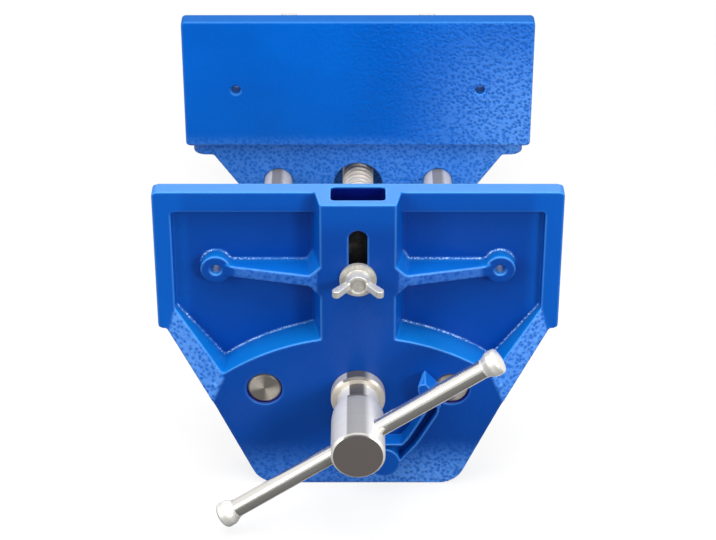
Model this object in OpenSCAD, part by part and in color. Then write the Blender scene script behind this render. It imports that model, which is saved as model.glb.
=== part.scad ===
// Quick-release woodworking vise that bolts under a bench. Millimetres, +Z up, +Y away from the user.
// The origin is the centre of the bench bolts, on the top face of the mounting flange.

/* [Jaws] */
// Width of both jaws
jaw_width = 265; // [255:1:290]
// Height of the jaws above the mounting flange
jaw_height = 104; // [96:1:120]
// Thickness of the rear jaw plate
rear_jaw_thickness = 14; // [12:1:20]
// Distance between the gripping faces as drawn
jaw_opening = 254; // [150:1:270]
// Largest distance between the gripping faces
max_opening = 381; // [330:1:400]
// Thickness of the front jaw's wings
wing_thickness = 12; // [10:1:16]
// Depth of the front jaw at its centre block and lower body
body_depth = 29; // [26:1:36]
// Depth of the front jaw below the trip rod's axis
foot_depth = 26.2; // [24:0.2:36]
// Diameter of the screw holes for wooden cheeks
cheek_hole_diameter = 7; // [5:0.5:9]
// Distance between the cheek holes of one jaw
cheek_hole_spacing = 185.5; // [170:0.5:195]

/* [Guides and screw] */
// Diameter of the guide rods
rod_diameter = 22; // [18:0.5:24]
// Distance between the guide rods
rod_spacing = 124.4; // [116:0.2:130]
// Diameter of the main screw over its thread
screw_diameter = 24; // [22:0.5:25]
// Pitch of the main screw's thread
screw_pitch = 6.35; // [5.5:0.05:7]
// Diameter of the trip rod
trip_rod_diameter = 12; // [10:0.5:13]

/* [Handle] */
// Diameter of the handle bar
handle_diameter = 12; // [10:0.5:14]
// Distance between the centres of the handle's knobs
handle_length = 206; // [160:1:240]
// Tilt of the handle from level as drawn, in degrees
handle_tilt = 34.5; // [0:0.5:90]
// Diameter of the screw head
head_diameter = 35; // [32:0.5:40]

/* [Dog and lever] */
// Width of the sliding dog
dog_width = 33; // [28:0.5:34]
// Lift of the dog
dog_travel = 28; // [20:0.5:28]
// Diameter of the dog's stud
stud_diameter = 9.5; // [8:0.5:10]
// Width of the release lever's arm
lever_width = 9; // [7:0.2:10]

/* [Bench mounting] */
// Distance between the bench bolts from left to right
bolt_spacing_x = 200; // [190:1:210]
// Distance between the bench bolts from front to back
bolt_spacing_y = 90; // [80:1:96]
// Diameter of the bench bolt holes
bolt_hole_diameter = 11; // [8:0.5:13]
// Thickness of the mounting flange
flange_thickness = 12; // [10:0.5:14]

/* [Hidden] */
$fn = 48;

// Colours
enamel = [0.0, 0.33, 0.75];
steel = [0.78, 0.78, 0.76];
dark_steel = [0.33, 0.33, 0.34];

// Clearances and overrun
overrun = 1;
fit_gap = 0.05;
slide_gap = 0.08;
face_gap = 0.3;
nut_gap = 0.35;

// Arcs in outlines
arc_steps = 6;
slot_steps = 10;
casting_radius = 3;

// Rear casting: its jaw plate stands over a recessed lower wall
flange_front = 86;
flange_back = 70;
jaw_recess = 8;
rear_face_y = -flange_front - jaw_recess;
front_face_y = rear_face_y - jaw_opening;
flange_margin = 28;
flange_half_width = bolt_spacing_x / 2 + flange_margin;
flange_waist_radius = 60;
flange_waist_reach = 34;
flange_corner = 10;
jaw_fillet = 6;
cheek_hole_drop = 56.5;
cheek_hole_z = jaw_height - cheek_hole_drop;
wall_thickness = 10;
back_wall_thickness = 10;
back_wall_inset = 4;
wall_top_half = 112;
wall_mid_half = 90;
wall_mid_z = -42.6;
wall_low_half = 74;
wall_low_z = -58;
wall_foot_half = 40;
wall_foot_z = -66;
wall_corner = 8;
tube_wall = 6;
tube_web = 10;
cross_rib_thickness = 10;
cross_rib_drop = 50;
passage_room = 1;

// Axes of the rods and the screw
rod_x = rod_spacing / 2;
rod_z = -35.5;
screw_z = -38.5;
screw_radius = screw_diameter / 2;
rod_radius = rod_diameter / 2;
tube_radius = rod_radius + tube_wall;
trip_x = 17.3;
trip_z = -86.3;
trip_radius = trip_rod_diameter / 2;
trip_flat = 1.5;
trip_flat_margin = 10;
trip_collar_radius = 9;
trip_collar_length = 8.7;

// Housing of the half nut, under the flange
nut_front = -12;
nut_length = 40;
nut_back = nut_front + nut_length;
nut_half_width = 16;
housing_wall = 12;
housing_front = nut_front - nut_gap - housing_wall;
housing_back = nut_back + nut_gap + housing_wall;
housing_left = nut_half_width + nut_gap + housing_wall;
cam_radius = 8;
cam_room = 1;
housing_right = trip_x + cam_radius + cam_room + housing_wall;
housing_floor = -103;
roof_room = 4;
chamber_roof = screw_z + screw_radius + roof_room;
cam_roof = trip_z + cam_radius + roof_room;

// Half nut and the cam that pulls it down
nut_saddle_drop = 6.3;
nut_depth = 28;
nut_base_z = screw_z - nut_depth;
tongue_front = 1;
tongue_back = 15;
tongue_left = -14;
tongue_right = 6;
tongue_foot = 5;
finger_tip_radius = 4;
finger_shank = 4;
finger_length = 16.7;
finger_width = 10;
finger_room = 0.4;
finger_slot_room = 1.2;
finger_slot_left = trip_x - finger_length - finger_tip_radius - finger_slot_room;

// Cover under the housing
cover_thickness = 3;
cover_screw_radius = 2.5;
cover_screw_head = 4;
cover_screw_head_height = 3;
cover_screw_length = 12;
cover_screw_inset = 5.5;

// Springs under the half nut
nut_spring_radius = 3.4;
nut_spring_wire = 1.4;
nut_spring_curls = 7;
nut_spring_offset = 14;
nut_spring_pocket = 4;
nut_spring_room = 0.9;
spring_rings = 8;
spring_sides = 6;

// Front jaw, measured from its top edge at the gripping face
front_width = jaw_width / 2;
pocket_floor = 5;
side_frame = 12;
top_frame = 14.5;
wing_foot_z = 1.5;
wing_drop = jaw_height - wing_foot_z;
wing_foot = 5.5;
waist_margin = 33.8;
waist_x = rod_spacing / 2 + waist_margin;
waist_z = -47.5;
waist_drop = jaw_height - waist_z;
body_drop = jaw_height - trip_z + foot_depth;
foot_margin = 4.3;
foot_x = rod_spacing / 2 + foot_margin;
foot_radius = 18;
block_half = 24.5;
pocket_side_z = 17;
pocket_side_drop = jaw_height - pocket_side_z;
pocket_apex_x = 89.4;
pocket_apex_z = -23.5;
pocket_apex_drop = jaw_height - pocket_apex_z;
arc_centre_z = -146.8;
arc_centre_drop = jaw_height - arc_centre_z;
arc_radius = norm([pocket_apex_x, arc_centre_drop - pocket_apex_drop]);
band_run = 45.4;
body_wall = 7;
boss_x = cheek_hole_spacing / 2;
boss_radius = 10;
boss_depth = 14;
rib_top_drop = 53;
rib_height = 8;
rib_flare = 7;
dog_slot_clearance = 1;
dog_slot_front = 22;
dog_slot_back = 4;
dog_slot_corner = 2.5;
face_slot_width = 12;
face_slot_room = 1;
screw_boss_radius = 21;
rod_boss_radius = 17;
trip_boss_radius = 10.5;
body_rib = 6;
body_rib_inset = 3;
rod_sink = 1;
rod_chamfer = 1.2;
rod_pin_radius = 3;
rod_pin_setback = 15;
rod_pin_reach = 17;

// Rear ends of the rods and the screw
closing_gap = 0.4;
closing_travel = jaw_opening - closing_gap;
opening_travel = max_opening - jaw_opening;
stop_gap = 0.5;
plate_front = flange_back - back_wall_inset + opening_travel + stop_gap;
plate_thickness = 8;
plate_back = plate_front + plate_thickness;
plate_ear = 17;
plate_rise = 14.5;
plate_lobe = 13;
plate_corner = 10;
rod_stud_radius = 7;
rod_washer_radius = 14;
rod_washer_thickness = 2;
rod_nut_radius = 12.7;
rod_nut_height = 11;
rod_stud_spare = 2;
journal_radius = 7.9;
journal_reach = 13;
end_washer_radius = 13;
end_washer_thickness = 2;
end_pin_radius = 1.8;
end_pin_length = 24;
end_pin_setback = 5;
clip_radius = 9;
clip_thickness = 1.2;
trip_rod_reach = 6;

// Main screw, measured from the front jaw's gripping face
thread_core_share = 0.73;
thread_core = screw_radius * thread_core_share;
crest_share = 0.3;
root_share = 0.3;
thread_sides = 12;
thread_land = 8;
land_growth = 0.1;
land_radius = screw_radius + land_growth;
nut_thread_gap = 0.5;
nut_flank_gap = 0.3;
thread_clear = 1;
thread_spare = screw_pitch + thread_land / 2 + thread_clear;
thread_start = nut_front - front_face_y - closing_travel - thread_spare;
thread_turns = ceil((closing_travel + opening_travel + nut_length + 2 * thread_spare) / screw_pitch);

// Screw head and its collar, in front of the front jaw
collar_radius = 18;
collar_length = 8.7;
neck_radius = 13.7;
head_start = 51;
head_shoulder = 15;
head_end = 101.5;
head_bore_depth = 18;
head_chamfer = 1.5;
handle_y = 83;
collar_pin_radius = 2;
shoulder_steps = 8;

// Spring behind the front jaw
screw_spring_radius = 15;
screw_spring_wire = 3;
screw_spring_curls = 5;
screw_spring_length = 34;
spring_washer_radius = 18;
spring_washer_thickness = 3;
spring_pin_radius = 2.5;
spring_pin_length = 34;
spring_pin_y = face_gap + screw_spring_length + spring_washer_thickness + fit_gap + spring_pin_radius;

// Handle
handle_radius = handle_diameter / 2;
handle_hole_gap = 0.2;
knob_radius = 8.6;
knob_length = 13;
knob_neck_radius = 6.3;
knob_flare = 6.5;
knob_edge = 2.2;
knob_bore = 9;
knob_dome = 1.2;
knob_steps = 8;

// Dog and its clamp
dog_depth = 16;
dog_top_drop = 10;
dog_length = 68;
dog_edge = 3;
stud_radius = stud_diameter / 2;
stud_drop = 54;
dog_slot_drop = dog_top_drop + dog_length + face_gap;
face_slot_foot = stud_drop + stud_radius + face_gap;
face_slot_top = stud_drop - dog_travel - face_slot_width / 2 - face_slot_room;
stud_end = 38.5;
stud_bury = 12;
washer_radius = 12;
washer_thickness = 2;
hub_base_radius = 8.6;
hub_front_radius = 6.9;
hub_length = 7.5;
wing_reach = 16.6;
wing_tip_radius = 2.8;
wing_plate = 4.6;
wing_lean = 10;
wing_root_x = 4.5;
wing_rise = 1.2;

// Release lever
lever_front = 42;
lever_depth = lever_front - body_depth - face_gap;
lever_tip_front = 46.5;
lever_boss_radius = 10.8;
lever_cap = 3;
lever_web = 3.2;
lever_rim = 1.5;
lever_pin_radius = 1.75;
lever_bend = 14;
lever_long_bend = 60;
lever_small_bend = 2;
// Right side of the lever, measured from the trip rod's axis, then the root of its arm
lever_crown = [26.5, 65.8];
lever_shoulder = [35.2, 56.5];
lever_elbow = [36.9, 40.5];
lever_knee = [22.9, 14.7];
lever_heel = [7, -5.4];
lever_root_height = 15.1;
lever_root_half = 6;
lever_tip_left = 25.5;
// Thumb pad at the tip: it stands proud of the arm and widens to the left towards the front
pad_proud = 0.4;
pad_foot = 48;
pad_nub = [22, 64.2];
pad_nub_foot = 60.5;
pad_nub_bevel = 1.4;

function unit(v) = v / norm(v);
function turn_between(from, to) =
    let (turn = to - from)
    turn > 180 ? turn - 360 : turn < -180 ? turn + 360 : turn;

// Arc that replaces one corner of an outline
function corner_arc(before, corner, after, radius) =
    let (
        u = unit(before - corner),
        v = unit(after - corner),
        half_angle = acos(u * v) / 2,
        start = corner + u * radius / tan(half_angle),
        finish = corner + v * radius / tan(half_angle),
        centre = corner + unit(u + v) * radius / sin(half_angle),
        start_angle = atan2(start.y - centre.y, start.x - centre.x),
        finish_angle = atan2(finish.y - centre.y, finish.x - centre.x),
        turn = turn_between(start_angle, finish_angle)
    )
    [for (i = [0:arc_steps])
        let (a = start_angle + turn * i / arc_steps)
        centre + radius * [cos(a), sin(a)]];

// Outline with its corners rounded by one radius, or by a list of them where zero keeps a corner sharp
function rounded(points, radii) =
    let (count = len(points))
    [for (i = [0:count - 1])
        let (radius = is_list(radii) ? radii[i] : radii)
        for (p = radius > 0
            ? corner_arc(points[(i + count - 1) % count], points[i], points[(i + 1) % count], radius)
            : [points[i]]) p];

// Right half of an outline, from top to bottom, joined to its mirror image
function both_sides(points) =
    concat(points, [for (i = [len(points) - 1:-1:0]) [-points[i].x, points[i].y]]);

function box_outline(x_from, x_to, z_from, z_to) =
    [[x_to, z_to], [x_to, z_from], [x_from, z_from], [x_from, z_to]];

// Corner of an outline whose two sides lie further in by a distance; the outline runs clockwise
function mitre(before, corner, after, distance) =
    let (u = unit(before - corner), v = unit(after - corner))
    corner + (u + v) * distance / cross(u, v);

function inset(points, distance) =
    let (count = len(points))
    [for (i = [0:count - 1])
        mitre(points[(i + count - 1) % count], points[i], points[(i + 1) % count], distance)];

// Slot standing on its end, from its lower to its upper end
function slot_outline(half_width, z_from, z_to) = concat(
    [for (i = [0:slot_steps]) let (a = 180 * i / slot_steps)
        [half_width * cos(a), z_to - half_width + half_width * sin(a)]],
    [for (i = [0:slot_steps]) let (a = 180 + 180 * i / slot_steps)
        [half_width * cos(a), z_from + half_width + half_width * sin(a)]]);

// An outline in X and Z, extruded along Y
module slab(y_from, y_to) {
    translate([0, y_to, 0])
        rotate([90, 0, 0])
            linear_extrude(height = y_to - y_from)
                children();
}

// A round bar along Y
module bar(y_from, y_to, radius) {
    translate([0, y_from, 0])
        rotate([-90, 0, 0])
            cylinder(h = y_to - y_from, r = radius);
}

// A cone along Y
module taper(y_from, y_to, r_from, r_to) {
    translate([0, y_from, 0])
        rotate([-90, 0, 0])
            cylinder(h = y_to - y_from, r1 = r_from, r2 = r_to);
}

module mirrored() {
    children();
    mirror([1, 0, 0])
        children();
}

module at_jaw() {
    translate([0, front_face_y, jaw_height])
        children();
}

module at_screw() {
    translate([0, front_face_y, screw_z])
        children();
}

module at_trip_rod() {
    translate([trip_x, front_face_y, trip_z])
        children();
}

module at_rods() {
    mirrored()
        translate([rod_x, 0, rod_z])
            children();
}

// Round wire wound along Z: rings of points on the helix, joined into one closed tube
function wire_point(ring, side, radius, wire, rise) =
    let (
        a = 360 * ring / spring_rings,
        b = 360 * side / spring_sides,
        r = radius + wire / 2 * cos(b)
    )
    [r * cos(a), r * sin(a), rise * ring / spring_rings + wire / 2 * sin(b)];

function wire_gap(radius, wire, rise, rings) =
    min([for (i = [0:rings - spring_rings], s = [0:spring_sides - 1], t = [0:spring_sides - 1])
        norm(wire_point(i, s, radius, wire, rise) - wire_point(i + spring_rings, t, radius, wire, rise))]);

module coil(radius, wire, curls, height) {
    rings = curls * spring_rings;
    rise = (height - wire) / curls;
    points = [for (i = [0:rings], s = [0:spring_sides - 1]) wire_point(i, s, radius, wire, rise)];
    side_faces = [for (i = [0:rings - 1], s = [0:spring_sides - 1])
        let (
            a = i * spring_sides + s,
            b = i * spring_sides + (s + 1) % spring_sides,
            c = a + spring_sides,
            d = b + spring_sides
        )
        for (face = [[a, c, b], [b, c, d]]) face];
    start_cap = [for (s = [1:spring_sides - 2]) [0, s, s + 1]];
    last = rings * spring_sides;
    end_cap = [for (s = [1:spring_sides - 2]) [last, last + s + 1, last + s]];
    translate([0, 0, wire / 2])
        polyhedron(points = points, faces = concat(side_faces, start_cap, end_cap));
}

// Trapezoidal thread along Y, right-handed, with pointed ends that sit inside plain lands.
// Ring i, step j is one corner of the profile, and step 0 one turn on closes the profile.
module screw_thread(y_from, turns, crest, core, crest_width, core_width) {
    rings = turns * thread_sides;
    flank = (screw_pitch - crest_width - core_width) / 2;
    steps = [0, core_width, core_width + flank, core_width + flank + crest_width];
    radii = [core, core, crest, crest];
    profile = len(steps);
    function at(i, j) = i <= rings ? i * profile + j : (rings + 1) * profile + i - rings - 1;
    function corner(i, j) =
        let (a = 360 * i / thread_sides)
        [radii[j] * sin(a),
            y_from - core_width / 2 + screw_pitch * i / thread_sides + steps[j],
            radii[j] * cos(a)];
    points = concat(
        [for (i = [0:rings], j = [0:profile - 1]) corner(i, j)],
        [for (i = [rings + 1:rings + thread_sides]) corner(i, 0)],
        [[0, y_from, 0], [0, y_from + screw_pitch * (turns + 1), 0]]);
    start_point = len(points) - 2;
    end_point = len(points) - 1;
    side_faces = [for (i = [0:rings - 1], j = [0:profile - 1])
        let (
            a = at(i, j),
            b = at(i + 1, j),
            c = j < profile - 1 ? at(i, j + 1) : at(i + thread_sides, 0),
            d = j < profile - 1 ? at(i + 1, j + 1) : at(i + 1 + thread_sides, 0)
        )
        for (face = [[a, c, b], [c, d, b]]) face];
    start_loop = concat([for (i = [0:thread_sides]) at(i, 0)], [for (j = [profile - 1:-1:1]) at(0, j)]);
    end_loop = concat(
        [for (j = [0:profile - 1]) at(rings, j)],
        [for (i = [rings + thread_sides:-1:rings + 1]) at(i, 0)]);
    start_cap = [for (i = [0:len(start_loop) - 1])
        [start_point, start_loop[i], start_loop[(i + 1) % len(start_loop)]]];
    end_cap = [for (i = [0:len(end_loop) - 1])
        [end_point, end_loop[i], end_loop[(i + 1) % len(end_loop)]]];
    polyhedron(points = points, faces = concat(side_faces, start_cap, end_cap), convexity = 10);
}

// Rear casting

wall_outline = both_sides([
    [wall_top_half, -flange_thickness + overrun],
    [wall_top_half, -flange_thickness],
    [wall_mid_half, wall_mid_z],
    [wall_low_half, wall_low_z],
    [wall_foot_half, wall_foot_z]]);

module flange_outline() {
    difference() {
        polygon(rounded(
            [[flange_half_width, -flange_front], [flange_half_width, flange_back],
                [-flange_half_width, flange_back], [-flange_half_width, -flange_front]],
            flange_corner));
        mirrored()
            translate([flange_half_width - flange_waist_reach + flange_waist_radius, 0])
                circle(r = flange_waist_radius);
    }
}

module jaw_plate() {
    translate([0, rear_face_y + rear_jaw_thickness, 0])
        rotate([90, 0, 0])
            linear_extrude(height = rear_jaw_thickness)
                polygon(rounded(
                    box_outline(-front_width, front_width, 0, jaw_height),
                    casting_radius));
}

// Triangular strip that strengthens the corner between plate and flange
module plate_fillet() {
    back = rear_face_y + rear_jaw_thickness;
    translate([-flange_half_width + flange_corner, 0, 0])
        rotate([90, 0, 90])
            linear_extrude(height = 2 * (flange_half_width - flange_corner))
                polygon([
                    [back - overrun, -overrun],
                    [back - overrun, jaw_fillet],
                    [back, jaw_fillet],
                    [back + jaw_fillet, 0],
                    [back + jaw_fillet, -overrun]]);
}

module nut_housing() {
    translate([-housing_left, housing_front, housing_floor])
        cube([housing_left + housing_right, housing_back - housing_front, -housing_floor - overrun]);
}

module nut_chamber() {
    half = nut_half_width + nut_gap;
    length = nut_length + 2 * nut_gap;
    translate([-half, nut_front - nut_gap, housing_floor - overrun])
        cube([2 * half, length, chamber_roof - housing_floor + overrun]);
    translate([0, nut_front - nut_gap, housing_floor - overrun])
        cube([trip_x + cam_radius + cam_room, length, cam_roof - housing_floor + overrun]);
}

module cover_screw_places() {
    for (x = [-housing_left + cover_screw_inset, housing_right - cover_screw_inset])
        for (y = [housing_front + cover_screw_inset, housing_back - cover_screw_inset])
            translate([x, y, housing_floor])
                children();
}

module rear_casting() {
    color(enamel)
    difference() {
        union() {
            translate([0, 0, -flange_thickness])
                linear_extrude(height = flange_thickness)
                    flange_outline();
            jaw_plate();
            plate_fillet();
            slab(-flange_front, -flange_front + wall_thickness)
                polygon(rounded(wall_outline, [0, 0, wall_corner, wall_corner, wall_corner,
                    wall_corner, wall_corner, wall_corner, 0, 0]));
            slab(flange_back - back_wall_inset - back_wall_thickness, flange_back - back_wall_inset)
                polygon(both_sides([
                    [rod_x + tube_radius, -flange_thickness + overrun],
                    [rod_x + tube_radius, rod_z],
                    [rod_x, rod_z - tube_radius],
                    [wall_foot_half, wall_low_z]]));
            at_rods()
                bar(-flange_front, flange_back - back_wall_inset, tube_radius);
            mirrored()
                translate([rod_x - tube_web / 2, -flange_front, rod_z])
                    cube([tube_web, flange_front + flange_back - back_wall_inset, -rod_z - overrun]);
            translate([-rod_x, nut_front + nut_length / 2 - cross_rib_thickness / 2, -cross_rib_drop])
                cube([2 * rod_x, cross_rib_thickness, cross_rib_drop - overrun]);
            nut_housing();
        }
        at_rods()
            bar(-flange_front - overrun, flange_back, rod_radius + slide_gap);
        nut_chamber();
        // Passage of the screw, wide through both walls so that the spring behind the jaw enters it
        translate([0, 0, screw_z])
            bar(-flange_front - overrun, housing_front - housing_wall, spring_washer_radius + passage_room);
        translate([0, 0, screw_z])
            bar(-flange_front - overrun, flange_back, screw_radius + passage_room);
        translate([trip_x, 0, trip_z])
            bar(housing_front - overrun, housing_back + overrun, trip_radius + slide_gap);
        mirrored()
            translate([cheek_hole_spacing / 2, rear_face_y - overrun, cheek_hole_z])
                bar(0, rear_jaw_thickness + 2 * overrun, cheek_hole_diameter / 2);
        for (x = [-bolt_spacing_x / 2, bolt_spacing_x / 2])
            for (y = [-bolt_spacing_y / 2, bolt_spacing_y / 2])
                translate([x, y, -flange_thickness - overrun])
                    cylinder(h = flange_thickness + 2 * overrun, r = bolt_hole_diameter / 2);
        cover_screw_places()
            translate([0, 0, -overrun])
                cylinder(h = cover_screw_length + 2 * overrun, r = cover_screw_radius + fit_gap);
    }
}

module nut_cover() {
    color(dark_steel)
    difference() {
        translate([-housing_left, housing_front, housing_floor - cover_thickness])
            cube([housing_left + housing_right, housing_back - housing_front, cover_thickness]);
        cover_screw_places()
            translate([0, 0, -cover_thickness - overrun])
                cylinder(h = cover_thickness + 2 * overrun, r = cover_screw_radius + face_gap);
    }
}

module cover_screws() {
    color(steel)
    cover_screw_places() {
        translate([0, 0, -cover_thickness - cover_screw_head_height])
            cylinder(h = cover_screw_head_height, r = cover_screw_head);
        translate([0, 0, -cover_thickness])
            cylinder(h = cover_screw_length, r = cover_screw_radius);
    }
}

nut_spring_top = nut_base_z + nut_spring_pocket;
nut_spring_height = nut_spring_top - housing_floor;

module nut_spring_places() {
    for (side = [-1, 1])
        translate([0, nut_front + nut_length / 2 + side * nut_spring_offset, 0])
            children();
}

module nut_springs() {
    color(steel)
    nut_spring_places()
        translate([0, 0, housing_floor])
            coil(nut_spring_radius, nut_spring_wire, nut_spring_curls, nut_spring_height);
}

// Half nut: a saddle with the screw's thread cut into it, springs below and a tongue for the cam
module half_nut() {
    tongue_base = trip_z - finger_tip_radius - finger_room - tongue_foot;
    saddle_top = screw_z - nut_saddle_drop;
    turns_before = floor((nut_front - front_face_y - thread_start) / screw_pitch) - 1;
    turns_across = ceil(nut_length / screw_pitch) + 2;
    color(dark_steel)
    difference() {
        union() {
            translate([-nut_half_width, nut_front, nut_base_z])
                cube([2 * nut_half_width, nut_length, saddle_top - nut_base_z]);
            translate([tongue_left, tongue_front, tongue_base])
                cube([tongue_right - tongue_left, tongue_back - tongue_front,
                    nut_base_z - tongue_base + overrun]);
        }
        at_screw()
            screw_thread(thread_start + turns_before * screw_pitch - nut_flank_gap, turns_across,
                screw_radius / cos(180 / thread_sides) + nut_thread_gap,
                thread_core / cos(180 / thread_sides) + nut_thread_gap,
                crest_share * screw_pitch + 2 * nut_flank_gap,
                root_share * screw_pitch - 2 * nut_flank_gap);
        translate([finger_slot_left, tongue_front - overrun, trip_z - finger_tip_radius - finger_room])
            cube([tongue_right - finger_slot_left + overrun, tongue_back - tongue_front + 2 * overrun,
                2 * (finger_tip_radius + finger_room)]);
        nut_spring_places()
            translate([0, 0, nut_base_z - overrun])
                cylinder(h = nut_spring_pocket + overrun,
                    r = nut_spring_radius + nut_spring_wire / 2 + nut_spring_room);
    }
}

// D-shaped outline of the trip rod, flat at the right
module trip_rod_outline(gap) {
    difference() {
        circle(r = trip_radius + gap);
        translate([trip_radius - trip_flat + gap, -trip_rod_diameter])
            square([trip_rod_diameter, 2 * trip_rod_diameter]);
    }
}

module trip_cam() {
    color(dark_steel)
    translate([trip_x, 0, trip_z])
    difference() {
        union() {
            bar(nut_front, nut_back, cam_radius);
            translate([-finger_length, nut_front + nut_length / 2 - finger_width / 2, 0])
                bar(0, finger_width, finger_tip_radius);
            translate([-finger_length, nut_front + nut_length / 2 - finger_width / 2, -finger_shank / 2])
                cube([finger_length, finger_width, finger_shank]);
        }
        slab(nut_front - overrun, nut_back + overrun)
            trip_rod_outline(slide_gap);
    }
}

// Front casting, drawn from its top edge at the gripping face

front_outline = both_sides([
    [front_width, 0],
    [front_width, -wing_drop],
    [front_width - wing_foot, -wing_drop],
    [waist_x, -waist_drop],
    [foot_x, -body_drop]]);

band_top = [front_width - side_frame, -pocket_side_drop];
band_side = [front_width - wing_foot, -wing_drop];
band_line = unit(band_side - band_top);
band_slope = atan((body_depth - wing_thickness) / band_run);
band_lap = 3;
band_shift = 0.6;

// Removes what stands in front of the wings and of the slanting bands under them
module wing_relief() {
    front = -body_depth - overrun;
    slab(front, -wing_thickness)
        polygon(box_outline(block_half, front_width + overrun, band_top.y + band_lap, overrun));
    intersection() {
        slab(front, -wing_thickness)
            polygon(box_outline(block_half, front_width + overrun, -body_drop, band_top.y + 2 * band_lap));
        translate([band_top.x + band_shift, -wing_thickness, band_top.y])
            rotate([0, atan2(band_line.x, band_line.y), 0])
                rotate([0, 0, -band_slope])
                    translate([-band_run, -2 * body_depth, -band_run])
                        cube([3 * band_run, 2 * body_depth, 3 * band_run]);
    }
}

module pocket() {
    difference() {
        slab(-body_depth - overrun, -pocket_floor)
            polygon(rounded([
                [block_half, -top_frame],
                band_top + [0, pocket_side_drop - top_frame],
                band_top,
                [pocket_apex_x, -pocket_apex_drop],
                [block_half, -pocket_apex_drop]],
                [casting_radius, casting_radius, casting_radius, 0, 0]));
        translate([0, 0, -arc_centre_drop])
            bar(-body_depth - 2 * overrun, 0, arc_radius);
    }
}

// Room behind the lower body, open at the back
module body_hollow() {
    intersection() {
        slab(-body_depth + body_wall, overrun)
            polygon(both_sides([
                [waist_x + wing_foot, -pocket_side_drop],
                [waist_x - body_wall, -waist_drop],
                [foot_x - body_wall, -body_drop + body_wall]]));
        translate([0, 0, -arc_centre_drop])
            bar(-body_depth, 2 * overrun, arc_radius - body_wall);
    }
}

// Rib from the centre block to the cheek boss: its front face slopes back towards the boss
module cheek_rib() {
    intersection() {
        slab(-body_depth, 0)
            polygon([
                [block_half - overrun, -rib_top_drop + rib_flare],
                [block_half, -rib_top_drop + rib_flare],
                [block_half + rib_flare, -rib_top_drop],
                [boss_x, -rib_top_drop],
                [boss_x, -rib_top_drop - rib_height],
                [block_half + rib_flare, -rib_top_drop - rib_height],
                [block_half, -rib_top_drop - rib_height - rib_flare],
                [block_half - overrun, -rib_top_drop - rib_height - rib_flare]]);
        translate([0, 0, -body_drop])
            linear_extrude(height = body_drop)
                polygon([
                    [0, 0],
                    [0, -body_depth],
                    [block_half, -body_depth],
                    [boss_x, -boss_depth + overrun],
                    [boss_x, 0]]);
    }
}

module front_bosses() {
    screw_drop = jaw_height - screw_z;
    rod_drop = jaw_height - rod_z;
    translate([0, 0, -screw_drop])
        bar(-body_depth, 0, screw_boss_radius);
    mirrored()
        translate([rod_x, 0, -rod_drop])
            bar(-body_depth, 0, rod_boss_radius);
    translate([trip_x, 0, trip_z - jaw_height])
        bar(-body_depth, 0, trip_boss_radius);
    translate([-rod_x, -body_depth, -rod_drop - body_rib / 2])
        cube([2 * rod_x, body_depth - body_rib_inset, body_rib]);
    mirrored()
        translate([rod_x, -body_depth, -rod_drop - body_rib / 2])
            cube([waist_x - rod_x, body_depth - body_rib_inset, body_rib]);
    translate([-body_rib / 2, -body_depth, -body_drop + overrun])
        cube([body_rib, body_depth - body_rib_inset, body_drop - screw_drop]);
}

module front_bores() {
    screw_drop = jaw_height - screw_z;
    rod_drop = jaw_height - rod_z;
    translate([0, 0, -screw_drop])
        bar(-body_depth - overrun, overrun, land_radius + slide_gap);
    mirrored()
        translate([rod_x, 0, -rod_drop]) {
            bar(-body_depth - overrun, overrun, rod_radius + fit_gap);
            taper(-body_depth - overrun, -body_depth + rod_chamfer,
                rod_radius + fit_gap + overrun + rod_chamfer, rod_radius + fit_gap);
            translate([0, -rod_pin_setback, -rod_pin_reach - overrun])
                cylinder(h = 2 * (rod_pin_reach + overrun), r = rod_pin_radius + fit_gap);
        }
    translate([trip_x, 0, trip_z - jaw_height])
        bar(-body_depth - overrun, overrun, trip_radius + slide_gap);
    mirrored()
        translate([boss_x, 0, -cheek_hole_drop])
            bar(-body_depth, overrun, cheek_hole_diameter / 2);
}

module dog_channel() {
    half = dog_width / 2 + dog_slot_clearance;
    translate([0, 0, -dog_slot_drop])
        linear_extrude(height = dog_slot_drop + overrun)
            polygon(rounded(
                [[half, -dog_slot_back], [half, -dog_slot_front],
                    [-half, -dog_slot_front], [-half, -dog_slot_back]],
                dog_slot_corner));
    slab(-body_depth - overrun, -dog_slot_front + overrun)
        polygon(slot_outline(face_slot_width / 2, -face_slot_foot, -face_slot_top));
}

module front_casting() {
    color(enamel)
    at_jaw()
    difference() {
        union() {
            difference() {
                slab(-body_depth, 0)
                    polygon(rounded(front_outline, [casting_radius, casting_radius, 0, 0, foot_radius,
                        foot_radius, 0, 0, casting_radius, casting_radius]));
                mirrored()
                    wing_relief();
                mirrored()
                    pocket();
                body_hollow();
            }
            mirrored()
                cheek_rib();
            mirrored()
                translate([boss_x, 0, -cheek_hole_drop])
                    bar(-boss_depth, 0, boss_radius);
            front_bosses();
        }
        front_bores();
        dog_channel();
    }
}

module guide_rod() {
    stud_end = plate_back + rod_washer_thickness + rod_nut_height + rod_stud_spare;
    difference() {
        translate([0, 0, rod_z]) {
            bar(front_face_y - body_depth + rod_sink + rod_chamfer, plate_front, rod_radius);
            taper(front_face_y - body_depth + rod_sink, front_face_y - body_depth + rod_sink + rod_chamfer,
                rod_radius - rod_chamfer, rod_radius);
            bar(plate_front, stud_end, rod_stud_radius);
        }
        translate([0, front_face_y - rod_pin_setback, rod_z - rod_pin_reach])
            cylinder(h = 2 * rod_pin_reach, r = rod_pin_radius + fit_gap);
    }
}

module guide_rod_left() {
    color(steel)
    translate([-rod_x, 0, 0])
        guide_rod();
}

module guide_rod_right() {
    color(steel)
    translate([rod_x, 0, 0])
        guide_rod();
}

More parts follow.
